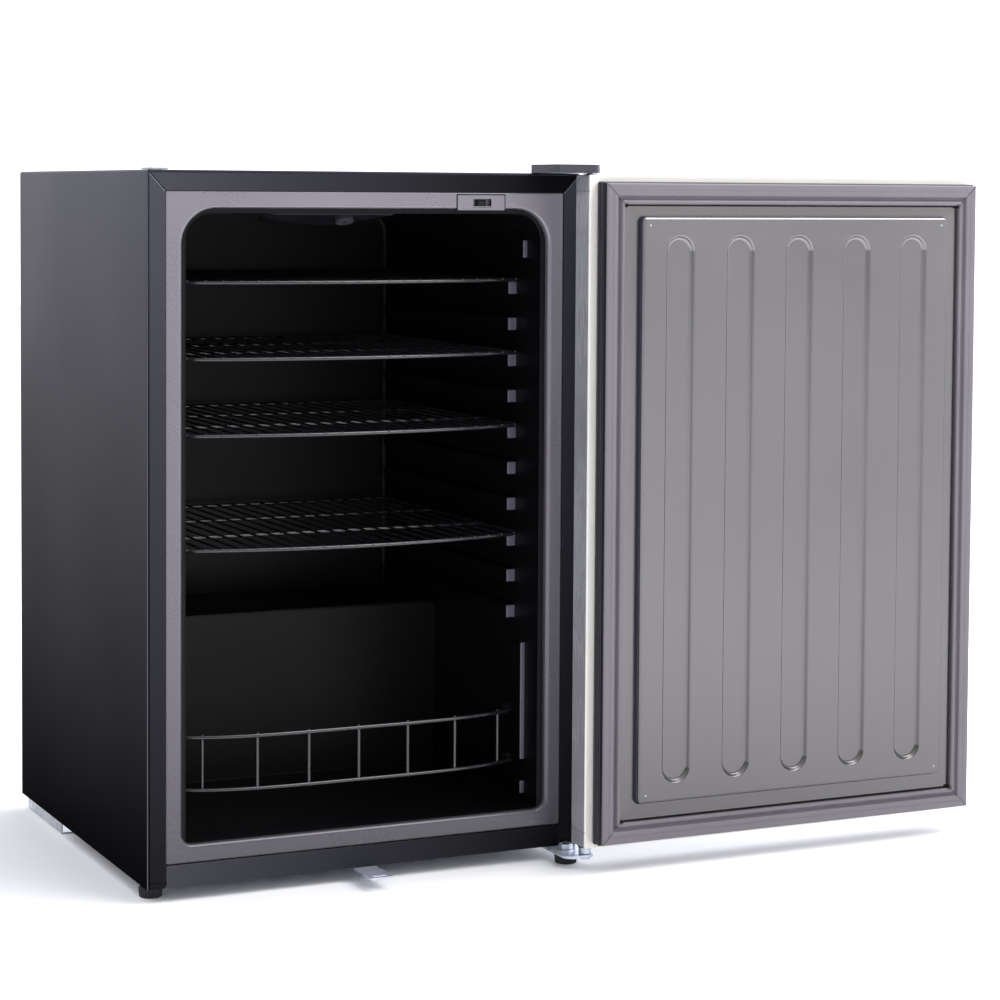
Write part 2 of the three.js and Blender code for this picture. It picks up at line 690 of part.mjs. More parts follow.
function doorSkin() {
  const { left, right, front, back, bottom, top, lip } = DOOR;
  const tray = cut(
    block(left, right, front, back, bottom, top),
    block(left + SHEET, right - SHEET, front + SHEET, back - SHEET, bottom + SHEET, top - SHEET),
    block(left + lip, right - lip, front - 1, front + 2, bottom + lip, top - lip),
  );
  const bushes = [bottom, top].map((z) => uprightRod(HINGE.x, HINGE.y, z - 3, z + 3, 5.3));
  const slot = LOCK.halfBolt + 1;
  const bolt = block(LOCK.x - slot, LOCK.x + slot, LOCK.bolt - 2.2, LOCK.bolt + 2.2, bottom - 1, bottom + 2);
  const key = rodAlongY(LOCK.x, LOCK.keyZ, back - 3, back + 3, LOCK.plug + 0.6);
  return cut(tray, ...bushes, bolt, key);
}

function stadium(x, halfWidth, z0, z1) {
  const shape = new THREE.Shape();
  shape.absarc(x, z1 - halfWidth, halfWidth, 0, Math.PI);
  shape.absarc(x, z0 + halfWidth, halfWidth, Math.PI, 2 * Math.PI);
  return shape;
}

// The five upright grooves pressed into the pan, grown by the sheet's thickness for its inner side.
function grooves(grow, y0, y1) {
  const middle = (PAN.left + PAN.right) / 2;
  const list = [];
  for (let i = 0; i < GROOVE.count; i += 1) {
    const x = middle + (i - (GROOVE.count - 1) / 2) * GROOVE.pitch;
    const shape = stadium(x, GROOVE.halfWidth + grow, GROOVE.bottom - grow, GROOVE.top + grow);
    list.push(alongY(shape, y0, y1, 4));
  }
  return list;
}

// A rectangle inset from the gasket's datum, which sits a little off the door's own outline.
function gasketRect(inset) {
  return [DOOR.left + inset, DOOR.right - 0.5 - inset, DOOR.bottom - 2.5 + inset, DOOR.top + 1 - inset];
}

// The panel's step inside the gasket and its raised pan, shrunk by inset and closed at y1.
function stepPrism(inset, y0, y1) {
  const [x0, x1, z0, z1] = gasketRect(GASKET.outset + GASKET.width + GAP + inset);
  return block(x0, x1, y0, y1, z0, z1);
}

function panPrism(inset, y0, y1) {
  const shape = roundedRect(
    PAN.left + inset, PAN.right - inset, PAN.bottom + inset, PAN.top - inset, PAN.radius - inset,
  );
  return alongY(shape, y0, y1);
}

function doorInnerPanel() {
  const back = DOOR.front - GAP;
  const { margin, marginY, stepY, panY, sheet } = PANEL;
  const { left, right, bottom, top } = DOOR;
  const flat = block(left + margin, right - margin, marginY, back, bottom + 6, top - 7.5);
  const outside = cut(join(flat, stepPrism(0, stepY, back), panPrism(0, panY, back)),
    ...grooves(0, panY - 1, panY + GROOVE.depth));
  const hollow = join(
    stepPrism(sheet, stepY + sheet, back + 1),
    cut(panPrism(sheet, panY + sheet, back + 1), ...grooves(sheet, panY - 1, panY + GROOVE.depth + sheet)),
  );
  return cut(outside, hollow);
}

function doorFoam() {
  const { left, right, front, back, bottom, top, lip } = DOOR;
  const edge = SHEET + GAP;
  const inset = PANEL.sheet + GAP;
  const side = lip + GAP + 20;
  const core = join(
    block(left + edge, right - edge, front + edge, back - edge, bottom + edge, top - edge),
    block(left + side, right - side, PANEL.stepY + inset, front + 5, bottom + 34, top - 34),
    panPrism(inset, PANEL.panY + GROOVE.depth + inset, front + 5),
  );
  const bushes = [
    uprightRod(HINGE.x, HINGE.y, bottom - 1, bottom + 16, 5.6, 12),
    uprightRod(HINGE.x, HINGE.y, top - 16, top + 1, 5.6, 12),
  ];
  const lock = block(LOCK.x - 14.3, LOCK.x + 14.3, LOCK.back - GAP, back, bottom, 46.3);
  return cut(core, ...bushes, lock);
}

// A magnetic seal on the panel's margin: a wide base with a narrower face.
function doorGasket() {
  const ring = (inset, y0, y1) => {
    const [x0, x1, z0, z1] = gasketRect(GASKET.outset + GASKET.width - inset);
    const hole = block(x0, x1, y0 - 1, y1 + 1, z0, z1);
    const body = roundedRect(...gasketRect(GASKET.outset + inset), 3);
    return cut(alongY(body, y0, y1, 3), hole);
  };
  return join(ring(0, GASKET.step, GASKET.base), ring(GASKET.inset, GASKET.face, GASKET.step + 0.5));
}

function handleBar() {
  const { x, y, low, high, radius } = HANDLE;
  const end = radius - 1;
  const profile = [[0, low], [end, low], [radius, low + 1], [radius, high - 1], [end, high], [0, high]];
  return turned(x, y, profile, 20);
}

function handlePost(z) {
  const reach = HANDLE.y - HANDLE.radius - GAP;
  return rodAlongY(HANDLE.x, z, DOOR.back + GAP, reach, HANDLE.post, 16);
}

// A flanged sleeve in the door's end: its flange lies on the skin and its sleeve reaches inwards.
function bush(z, outwards, flange) {
  const profile = [
    [BUSH.bore, z - outwards * BUSH.sleeve], [BUSH.outer, z - outwards * BUSH.sleeve],
    [BUSH.outer, z + outwards * GAP], [BUSH.flange, z + outwards * GAP],
    [BUSH.flange, z + outwards * flange], [BUSH.bore, z + outwards * flange],
    [BUSH.bore, z - outwards * BUSH.sleeve],
  ];
  return turned(HINGE.x, HINGE.y, outwards > 0 ? profile : profile.reverse());
}

// ---- Door lock: a turning key plug that drops a flat bolt through the strike's slot -------------------

function lockHousing() {
  const { x, bolt, keyZ, halfBolt, plug } = LOCK;
  const body = block(x - 14, x + 14, LOCK.back, DOOR.back - SHEET - GAP, DOOR.bottom + SHEET + GAP, 46);
  const half = halfBolt + 0.4;
  const channel = block(x - half, x + half, bolt - 1.9, bolt + 1.9, 0, 30);
  return cut(body, channel, rodAlongY(x, keyZ, bolt + 1, 0, plug + GAP));
}

function lockPlug() {
  const { x, keyZ, bolt, plug } = LOCK;
  const face = DOOR.back;
  const barrel = rodAlongY(x, keyZ, bolt + 2.3, face + 1, plug);
  const flange = rodAlongY(x, keyZ, face + GAP, face + 2.3, plug + 2.5);
  const keyway = block(x - 0.9, x + 0.9, face - 4, face + 5, keyZ - 4, keyZ + 4);
  return cut(join(barrel, flange), keyway);
}

function lockBolt() {
  const { x, bolt, halfBolt } = LOCK;
  return block(x - halfBolt, x + halfBolt, bolt - 1.5, bolt + 1.5, 11, 28);
}

// ---- Assembly -------------------------------------------------------------------------------------

place('outer_wrap', outerWrap(), BLACK_STEEL);
place('back_panel', backPanel(), BLACK_STEEL);
place('base_plate', basePlate(), ZINC);
place('bay_panel', bayPanel(), ZINC);
place('kick_band', kickBand(), BLACK_STEEL);
place('compressor_plate', compressorPlate(), ZINC);
place('cabinet_foam', cabinetFoam(), FOAM);
place('liner', liner(), BLACK_PLASTIC);
place('throat_frame', throatFrame(), GREY_PLASTIC);
place('evaporator_plate', evaporatorPlate(), { color: 0xc8cacc, roughness: 0.4, metalness: 1 });
SHELF_LEDGES.forEach((ledge, i) => place(`shelf_${i + 1}`, shelf(ledge), COATED_WIRE));
place('bottle_guard', bottleGuard(), COATED_WIRE);
place('light_switch_bezel', switchBezel(), GREY_PLASTIC);
place('light_switch_slider', switchSlider(), BLACK_PLASTIC);
place('lamp_housing', lampHousing(), { color: 0x1c1d24, roughness: 0.15, metalness: 0 });
place('led_board', ledBoard(), { color: 0x2e5b3c, roughness: 0.5, metalness: 0 });
place('thermostat_dial', thermostatDial(), DARK_GREY_PLASTIC);
place('compressor', compressor(), { color: 0x151515, roughness: 0.45, metalness: 0.2 });
place('compressor_relay_cover', relayCover(), BLACK_PLASTIC);
for (const [row, sideY] of [['front', -1], ['rear', 1]]) {
  for (const [side, sideX] of [['left', -1], ['right', 1]]) {
    place(`grommet_${row}_${side}`, grommet(sideX, sideY), BLACK_RUBBER);
  }
}
place('drip_tray', dripTray(), BLACK_PLASTIC);
place('drain_tube', drainTube(), { color: 0xd6d6d0, roughness: 0.5, metalness: 0 });
place('suction_line', suctionLine(), COPPER);
place('discharge_line', dischargeLine(), COPPER);
place('capillary_tube', capillaryTube(), COPPER);
place('filter_drier', filterDrier(), COPPER);
place('condenser_coil', condenserCoil(), { color: 0x1a1a1a, roughness: 0.5, metalness: 0.3 });
place('condenser_strip_left', condenserStrip(STRIPS.left), ZINC);
place('condenser_strip_right', condenserStrip(STRIPS.right), ZINC);
place('cord_gland', cordGland(), BLACK_PLASTIC);
place('foot_left', levellingFoot(FEET.left, -GAP), BLACK_PLASTIC);
place('foot_right', levellingFoot(FEET.right, FEET.nutTop + 1.5), BLACK_PLASTIC);
place('foot_nut', footNut(FEET.right), ZINC);
place('bottom_hinge_plate', bottomHingePlate(), ZINC);
place('bottom_hinge_pin', bottomHingePin(), ZINC);
place('bottom_hinge_screw_front', hingeScrew(HINGE_SCREWS.front), ZINC);
place('bottom_hinge_screw_rear', hingeScrew(HINGE_SCREWS.rear), ZINC);
place('top_hinge_bracket', topHingeBracket(), ZINC);
place('top_hinge_pin', topHingePin(), ZINC);
place('top_hinge_cover', hingeCover(), DARK_GREY_PLASTIC);
place('hinge_hole_plug', hingeHolePlug(), GREY_PLASTIC);
place('lock_strike', lockStrike(), ZINC);
place('door_skin', doorSkin(), STAINLESS);
place('door_foam', doorFoam(), FOAM);
place('door_inner_panel', doorInnerPanel(), GREY_PLASTIC);
place('door_gasket', doorGasket(), RUBBER);
place('door_bush_top', bush(DOOR.top, 1, 1.3), BLACK_PLASTIC);
place('door_bush_bottom', bush(DOOR.bottom, -1, 2), BLACK_PLASTIC);
place('handle_bar', handleBar(), STAINLESS);
place('handle_post_upper', handlePost(HANDLE.high - 25), STAINLESS);
place('handle_post_lower', handlePost(HANDLE.low + 25), STAINLESS);
place('lock_housing', lockHousing(), BLACK_PLASTIC);
place('lock_plug', lockPlug(), { color: 0xc9c9cc, roughness: 0.2, metalness: 1 });
place('lock_bolt', lockBolt(), ZINC);

export default fridge;
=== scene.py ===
"""The looks of an open compact beverage fridge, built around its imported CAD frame.

Pieces are drawn in cabinet units, 500 of them across the 540 mm wide cabinet: x runs across the front from
its left side, y from its front face to the back, and z up from the lower edge of its side panels. The opened
door lies at negative y.
"""

import math
from types import SimpleNamespace

import bmesh
import bpy
from mathutils import Matrix, Vector, geometry


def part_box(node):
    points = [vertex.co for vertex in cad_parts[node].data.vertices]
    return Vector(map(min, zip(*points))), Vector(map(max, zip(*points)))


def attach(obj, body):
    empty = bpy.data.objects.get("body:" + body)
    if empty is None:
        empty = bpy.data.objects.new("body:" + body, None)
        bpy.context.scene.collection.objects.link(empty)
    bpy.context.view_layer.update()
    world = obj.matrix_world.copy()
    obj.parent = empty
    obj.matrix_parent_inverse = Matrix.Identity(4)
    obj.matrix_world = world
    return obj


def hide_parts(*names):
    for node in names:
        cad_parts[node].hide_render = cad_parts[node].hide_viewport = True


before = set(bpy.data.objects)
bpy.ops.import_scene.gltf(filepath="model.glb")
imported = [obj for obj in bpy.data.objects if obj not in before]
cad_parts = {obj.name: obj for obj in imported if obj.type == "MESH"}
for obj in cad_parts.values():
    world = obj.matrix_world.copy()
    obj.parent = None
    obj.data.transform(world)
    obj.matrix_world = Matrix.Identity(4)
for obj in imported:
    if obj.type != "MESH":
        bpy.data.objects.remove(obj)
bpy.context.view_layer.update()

# ---- Driving dimensions, in cabinet units ----

UNIT = 0.00108  # metres
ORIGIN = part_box("outer_wrap")[0]

CAMERA = (-836.9, -2629.7, 728.0)
CAMERA_TURN = (25.23, 3.06, 0.36)  # azimuth, pitch and roll, in degrees
CAMERA_LENS = 95.75  # millimetres, on a 36 mm sensor
CAMERA_SHIFT = -0.1648

WIDTH, DEPTH, HEIGHT = 500.0, 494.0, 750.0
FLANGE = 20.2
HEADER = 21.3  # the flange across the top is a little wider
SHEET = 1.0
FOLD = 2.0  # outer radius of the wrap's folds
KICK_TOP = 24.0

OPENING = SimpleNamespace(left=39, right=461, bottom=43, top=710.5, low=12, high=38)
LINER = SimpleNamespace(left=45, right=455, bottom=40, top=705, back=445, low=7, high=28, wall=1.5)
HUMP = SimpleNamespace(front=295, top=237)
LEDGE = SimpleNamespace(count=10, highest=629, pitch=40.7, height=14.5, reach=10, front=69, back=430)
SHELF = SimpleNamespace(left=46.5, right=453.5, end=47, bow=33, back=428, wires=22)
GUARD = SimpleNamespace(left=52, right=448, low=89, high=146, end=56, bow=26, rod=2.2, posts=7)

DOOR = SimpleNamespace(left=480, right=980, back=-27, front=-61, bottom=9, top=748.5)
PAN = SimpleNamespace(left=532, right=928, bottom=59.5, top=703, radius=5, y=-87.5)
STEP_Y = -77.5
MARGIN_Y = -62.5
GROOVE = SimpleNamespace(count=5, pitch=75.7, half=18.2, depth=4.5, bottom=79, top=683.5)
SEAL = SimpleNamespace(outset=8.3, width=24.7)


def at(x, y, z):
    """A point in the row frame, in metres, from cabinet units."""
    return ORIGIN + Vector((x, y, z)) * UNIT


def box_of(node):
    """A CAD node's lowest and highest corners, in cabinet units."""
    return tuple((corner - ORIGIN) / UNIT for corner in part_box(node))


# ---- Shapes: each is (vertices, faces) in cabinet units ----


def merged(*parts):
    verts, faces = [], []
    for part_verts, part_faces in parts:
        start = len(verts)
        verts.extend(part_verts)
        faces.extend(tuple(start + i for i in face) for face in part_faces)
    return verts, faces


def loft(rings, around=False, caps=(True, True)):
    """A skin through closed rings of points; around joins the last ring to the first."""
    count = len(rings[0])
    verts = [point for ring in rings for point in ring]
    faces = []
    for r in range(len(rings) if around else len(rings) - 1):
        a, b = r * count, (r + 1) % len(rings) * count
        for i in range(count):
            j = (i + 1) % count
            faces.append((a + i, a + j, b + j, b + i))
    if not around and caps[0]:
        faces.append(tuple(reversed(range(count))))
    if not around and caps[1]:
        faces.append(tuple(range(len(verts) - count, len(verts))))
    return verts, faces


def rounded_rect(u0, u1, v0, v1, low, high=None, steps=6):
    """A loop of points with one radius at the two lower corners and another at the upper ones."""
    high = low if high is None else high
    corners = [
        (u1 - low, v0 + low, low, -90),
        (u1 - high, v1 - high, high, 0),
        (u0 + high, v1 - high, high, 90),
        (u0 + low, v0 + low, low, 180),
    ]
    loop = []
    for u, v, radius, start in corners:
        for k in range(steps + 1):
            angle = math.radians(start + 90 * k / steps)
            loop.append((u + radius * math.cos(angle), v + radius * math.sin(angle)))
    return loop


def grown(box, by, *radii, steps):
    """The rounded outline of a box with left, right, bottom and top, grown outwards."""
    return rounded_rect(box.left - by, box.right + by, box.bottom - by, box.top + by, *radii, steps=steps)


def in_front(loop, y):
    """Stands a loop of (x, z) at a given y."""
    return [(x, y, z) for x, z in loop]


def laid(loop, z):
    """Lays a loop of (x, y) at a given height."""
    return [(x, y, z) for x, y in loop]


def rings_at(outline, *stations):
    """Rings of an outline function: each station has the function's arguments, then its y."""
    return [in_front(outline(*args), y) for *args, y in stations]


def arc(u, v, radius, start, end, steps=5):
    points = []
    for k in range(steps + 1):
        angle = math.radians(start + (end - start) * k / steps)
        points.append((u + radius * math.cos(angle), v + radius * math.sin(angle)))
    return points


def roll_over(radius, y, steps):
    """Stations (inset, y) of a quarter round from a flat face at y to a wall with no inset."""
    return [(radius - dx, y + radius - dy) for dx, dy in arc(0, 0, radius, 90, 0, steps)]


def skin(rings):
    return loft(rings, caps=(False, False))


def filled(loops):
    """The points of an outline and its holes, and the triangles between them."""
    triangles = geometry.tessellate_polygon([[Vector((u, v, 0)) for u, v in loop] for loop in loops])
    return [point for loop in loops for point in loop], [tuple(t) for t in triangles]


def face_at(loops, y):
    flat, triangles = filled(loops)
    return in_front(flat, y), triangles


def plate(outline, holes, place, w0, w1):
    """A flat sheet from w0 to w1; place(u, v, w) puts its outline and holes in space."""
    loops = [outline, *holes]
    flat, triangles = filled(loops)
    count = len(flat)
    verts = [place(u, v, w) for w in (w0, w1) for u, v in flat]
    faces = triangles + [tuple(count + i for i in reversed(t)) for t in triangles]
    start = 0
    for loop in loops:
        for i in range(len(loop)):
            a, b = start + i, start + (i + 1) % len(loop)
            faces.append((a, b, b + count, a + count))
        start += len(loop)
    return verts, faces


def upright(u, v, w):
    return (u, w, v)


def level(u, v, w):
    return (u, v, w)


def across(u, v, w):
    return (w, u, v)


def rounded_box(x0, x1, y0, y1, z0, z1, radius, segments=3):
    bm = bmesh.new()
    bmesh.ops.create_cube(bm, size=1)
    for v in bm.verts:
        v.co.x = x0 if v.co.x < 0 else x1
        v.co.y = y0 if v.co.y < 0 else y1
        v.co.z = z0 if v.co.z < 0 else z1
    bmesh.ops.bevel(bm, geom=bm.edges[:], offset=radius, segments=segments, profile=0.5, affect="EDGES")
    bm.verts.index_update()
    shape = [v.co[:] for v in bm.verts], [tuple(v.index for v in f.verts) for f in bm.faces]
    bm.free()
    return shape


def lathe(profile, centre, axis="z", sides=48, ribs=0, rib_depth=0.0):
    """Turns (radius, height) points about an axis through centre; ribs ripple the radius."""
    x, y, z = centre
    rings = []
    for radius, height in profile:
        ring = []
        for i in range(sides):
            angle = 2 * math.pi * i / sides
            r = radius - rib_depth * (0.5 - 0.5 * math.cos(ribs * angle)) if ribs else radius
            u, v = r * math.cos(angle), r * math.sin(angle)
            ring.append((x + u, y + v, z + height) if axis == "z" else (x + u, y + height, z + v))
        rings.append(ring)
    return loft(rings)


def with_bends(corners, radius, steps=6):
    """Rounds the corners of a run of points with arcs."""
    points = [Vector(p) for p in corners]
    path = [points[0]]
    for before, corner, after in zip(points, points[1:], points[2:]):
        into, out = (before - corner).normalized(), (after - corner).normalized()
        half = into.angle(out) / 2
        middle = corner + (into + out).normalized() * (radius / math.sin(half))
        start = corner + into * (radius / math.tan(half)) - middle
        end = corner + out * (radius / math.tan(half)) - middle
        turn = start.angle(end)
        for s in range(steps + 1):
            share = s / steps
            a = start * (math.sin((1 - share) * turn) / math.sin(turn))
            b = end * (math.sin(share * turn) / math.sin(turn))
            path.append(middle + a + b)
    path.append(points[-1])
    return path


def tube(path, radius, sides=10, round_ends=True):
    """A round rod along a path of points, with its ends rounded over."""
    points = [Vector(p) for p in path]
    along = [(b - a).normalized() for a, b in zip(points, points[1:])]
    tangents = [along[0]] + [(a + b).normalized() for a, b in zip(along, along[1:])] + [along[-1]]
    side = tangents[0].orthogonal().normalized()
    stations = []
    for point, tangent in zip(points, tangents):
        side = (side - tangent * side.dot(tangent)).normalized()
        stations.append((point, side, tangent.cross(side), radius))
    if round_ends:
        caps = []
        for (point, u, v, _), out in ((stations[0], -tangents[0]), (stations[-1], tangents[-1])):
            shares = [(s, math.sqrt(1 - s * s)) for s in (0.95, 0.75, 0.4)]
            caps.append([(point + out * radius * s, u, v, radius * width) for s, width in shares])
        stations = caps[0] + stations + caps[1][::-1]
    rings = []
    for point, u, v, r in stations:
        turn = [2 * math.pi * i / sides for i in range(sides)]
        rings.append([tuple(point + u * (r * math.cos(a)) + v * (r * math.sin(a))) for a in turn])
    return loft(rings)


# ---- Making pieces ----


def add_object(name, data):
    obj = bpy.data.objects.new(name, data)
    bpy.context.scene.collection.objects.link(obj)
    return obj


def mesh_object(name, shape):
    verts, faces = shape
    mesh = bpy.data.meshes.new(name)
    mesh.from_pydata([at(*v) for v in verts], [], faces)
    bm = bmesh.new()
    bm.from_mesh(mesh)
    bmesh.ops.remove_doubles(bm, verts=bm.verts, dist=1e-6)
    bmesh.ops.recalc_face_normals(bm, faces=bm.faces)
    bm.to_mesh(mesh)
    bm.free()
    return add_object(name, mesh)


def as_object(name, shape):
    return shape if isinstance(shape, bpy.types.Object) else mesh_object(name, shape)


def soften(obj, bevel, segments=2, angle=35):
    """Rounds the sharp edges by bevel units and keeps the flats flat."""
    for polygon in obj.data.polygons:
        polygon.use_smooth = True
    if bevel:
        modifier = obj.modifiers.new("bevel", "BEVEL")
        modifier.width = bevel * UNIT
        modifier.segments = segments
        modifier.limit_method = "ANGLE"
        modifier.angle_limit = math.radians(angle)
    normals = obj.modifiers.new("normals", "WEIGHTED_NORMAL")
    normals.keep_sharp = True


def piece(name, shape, finish_name, body="cabinet", stands_for=(), bevel=0.0, segments=2, thick=0.0):
    """Adds one named piece that rides a body and may stand for CAD nodes."""
    obj = as_object(name, shape)
    obj.name = name
    obj.data.materials.clear()
    obj.data.materials.append(MATERIALS[finish_name])
    if thick:
        modifier = obj.modifiers.new("thickness", "SOLIDIFY")
        modifier.thickness = thick * UNIT
        modifier.offset = -1
    obj.data.set_sharp_from_angle(angle=math.radians(50))
    soften(obj, bevel, segments)
    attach(obj, body)
    if stands_for:
        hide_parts(*stands_for)


def dress(node, finish_name, bevel=0.3, segments=2):
    """Gives a CAD node its finish, with its edges eased."""
    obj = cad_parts[node]
    obj.data.materials.clear()
    obj.data.materials.append(MATERIALS[finish_name])
    weld = obj.modifiers.new("weld", "WELD")
    weld.merge_threshold = 1e-5
    soften(obj, bevel, segments)


def carve(shape, tool):
    """Cuts one closed shape out of another and gives back the resulting object."""
    base = as_object("carve_base", shape)
    other = as_object("carve_tool", tool)
    modifier = base.modifiers.new("carve", "BOOLEAN")
    modifier.operation = "DIFFERENCE"
    modifier.solver = "EXACT"
    modifier.object = other
    bpy.context.view_layer.update()
    result = bpy.data.meshes.new_from_object(base.evaluated_get(bpy.context.evaluated_depsgraph_get()))
    base.modifiers.clear()
    base.data = result
    bpy.data.objects.remove(other)
    return base


# ---- Materials ----


def shade(red, green, blue):
    """A linear colour from the 8-bit values that a screen shows."""
    def linear(value):
        share = value / 255
        return share / 12.92 if share <= 0.04045 else ((share + 0.055) / 1.055) ** 2.4
    return (linear(red), linear(green), linear(blue), 1.0)


def scaled(color, factor):
    return tuple(min(1.0, c * factor) for c in color[:3]) + (1.0,)


def connect(tree, node, sockets):
    """Gives each named input of a node a value, or the output that feeds it."""
    for socket, value in sockets.items():
        if isinstance(value, bpy.types.NodeSocket):
            tree.links.new(value, node.inputs[socket])
        else:
            node.inputs[socket].default_value = value


def add_node(tree, kind, sockets, **settings):
    node = tree.nodes.new("ShaderNode" + kind)
    for key, value in settings.items():
        setattr(node, key, value)
    connect(tree, node, sockets)
    return node


def feed(tree, kind, output, sockets, **settings):
    """Adds a node and gives back its named output."""
    return add_node(tree, kind, sockets, **settings).outputs[output]


def calc(tree, operation, *terms):
    """The output of a maths node whose terms are numbers or other nodes' outputs."""
    return feed(tree, "Math", "Value", dict(enumerate(terms)), operation=operation)


def remap(tree, value, span, result=(0.0, 1.0)):
    ends = zip(("From Min", "From Max", "To Min", "To Max"), (*span, *result))
    return feed(tree, "MapRange", "Result", {"Value": value, **dict(ends)})


def ramp(tree, factor, *stops):
    """A colour ramp through two or more (position, colour) stops."""
    node = add_node(tree, "ValToRGB", {"Fac": factor})
    for element, (position, color) in zip(node.color_ramp.elements, stops):
        element.position = position
        element.color = color
    for position, color in stops[2:]:
        node.color_ramp.elements.new(position).color = color
    return node.outputs["Color"]


def mix(tree, factor, base, top):
    return feed(tree, "Mix", "Result", {"Factor": factor, "A": base, "B": top}, data_type="RGBA")


FADE_HEIGHT = (0.0216, 0.8424)  # metres, from the cabinet's foot to near its top, over which the painted shade lifts
FADE_ACROSS = (-0.5076, 0.0)  # metres, from the cabinet's left side towards the hinge side, over which the painted shade deepens
FOLD_FACING = (0.3, 0.48)  # how evenly a normal is shared by x and y: an upright fold's is near 0.5, and there the painted fold highlight goes
EDGE_POINTINESS = (0.52, 0.62)
PATCH_SHARE = 0.65  # how much the broad patches weigh in the finish; the fine grain has the rest
BLEND_SPAN = (0.3, 0.7)  # where the noise lies


def finish(name, color, roughness, metallic=0.0, specular=0.5, vary=0.1, patch=14.0, rough_vary=0.06,
           grain=700.0, stretch=(1, 1, 1), bump=0.1, depth=0.05, wear=0.0,
           floor_shade_share=1.0, hinge_shade_share=1.0, curve=1.0, tint=None, painted_fold_highlight=None):
    """A procedural surface: broad colour patches, a fine grain in roughness and bump, and worn edges.

    The low and right shares paint shade into the colour and the strength of its reflection, darker towards
    the floor and towards the hinge side; curve bends how that painted shade falls in the reflection, tint
    colours that reflection, and the fold colour is a highlight painted on upright folds.
    """
    material = bpy.data.materials.new(name)
    material.use_nodes = True
    tree = material.node_tree
    shader = tree.nodes["Principled BSDF"]
    connect(tree, shader, {"Metallic": metallic, "Specular IOR Level": specular})
    place = tree.nodes.new("ShaderNodeTexCoord").outputs
    spot = place["Object"]
    grain_spot = feed(tree, "Mapping", "Vector", {"Vector": spot, "Scale": stretch})
    patches = feed(tree, "TexNoise", "Fac", {"Vector": spot, "Scale": patch, "Detail": 4})
    fine = feed(tree, "TexNoise", "Fac", {"Vector": grain_spot, "Scale": grain, "Detail": 3})
    blend = calc(tree, "MULTIPLY_ADD", fine, 1 - PATCH_SHARE, calc(tree, "MULTIPLY", patches, PATCH_SHARE))
    surface = ramp(tree, blend, *zip(BLEND_SPAN, (scaled(color, 1 - vary), scaled(color, 1 + vary))))
    if tint:
        connect(tree, shader, {"Specular Tint": tint})
    # Painted shade: the colour and the strength of its reflection darken towards the floor and towards the
    # hinge side.
    if floor_shade_share < 1 or hinge_shade_share < 1:
        along = add_node(tree, "SeparateXYZ", {"Vector": spot}).outputs
        rise = remap(tree, along["Z"], FADE_HEIGHT, (floor_shade_share, 1))
        sideways = remap(tree, along["X"], FADE_ACROSS, (1, hinge_shade_share))
        share = calc(tree, "POWER", calc(tree, "MULTIPLY", rise, sideways), 2)
        surface = feed(tree, "VectorMath", "Vector", {0: surface, "Scale": share}, operation="SCALE")
        gleam = calc(tree, "MULTIPLY", calc(tree, "POWER", share, curve), specular)
        connect(tree, shader, {"Specular IOR Level": gleam})
    # Painted highlight: where a normal faces x and y alike, as on an upright fold, the colour is lightened
    # towards a highlight colour.
    if painted_fold_highlight:
        facing = add_node(tree, "SeparateXYZ", {"Vector": place["Normal"]}).outputs
        fold = calc(tree, "ABSOLUTE", calc(tree, "MULTIPLY", facing["X"], facing["Y"]))
        surface = mix(tree, remap(tree, fold, FOLD_FACING, (0, 0.8)), surface, painted_fold_highlight)
    if wear:
        edges = feed(tree, "NewGeometry", "Pointiness", {})
        rubbed = ramp(tree, edges, *zip(EDGE_POINTINESS, ((0, 0, 0, 1), (wear, wear, wear, 1))))
        surface = mix(tree, rubbed, surface, scaled(color, 2.2))
    ends = (max(roughness - rough_vary, 0.02), min(roughness + rough_vary, 1))
    gloss = remap(tree, blend, BLEND_SPAN, ends)
    connect(tree, shader, {"Base Color": surface, "Roughness": gloss})
    if bump:
        bumps = feed(tree, "Bump", "Normal", {"Strength": bump, "Distance": depth * UNIT, "Height": fine})
        connect(tree, shader, {"Normal": bumps})
    return material


def spangled(name, color, roughness):
    """Hot-dip zinc: flat crystals of slightly different grey."""
    material = finish(name, color, roughness, metallic=1.0, vary=0.12, patch=40, bump=0.15, grain=300)
    tree = material.node_tree
    place = tree.nodes["Texture Coordinate"].outputs["Object"]
    cells = feed(tree, "TexVoronoi", "Color", {"Vector": place, "Scale": 110})
    level = feed(tree, "SeparateColor", "Red", {"Color": cells})
    crystals = ramp(tree, level, (0, scaled(color, 0.78)), (1, scaled(color, 1.15)))
    connect(tree, tree.nodes["Principled BSDF"], {"Base Color": crystals})
    return material


def glassy(name, color, roughness):
    """Smoked clear plastic."""
    material = finish(name, color, roughness, vary=0.15, bump=0.03, rough_vary=0.03)
    tree = material.node_tree
    connect(tree, tree.nodes["Principled BSDF"], {"Transmission Weight": 0.7, "IOR": 1.49})
    return material


def glowing(name, color, strength):
    material = finish(name, color, 0.3)
    tree = material.node_tree
    connect(tree, tree.nodes["Principled BSDF"], {"Emission Color": color, "Emission Strength": strength})
    return material


PAINTED = dict(patch=3, grain=1500, bump=0.12, depth=0.04)
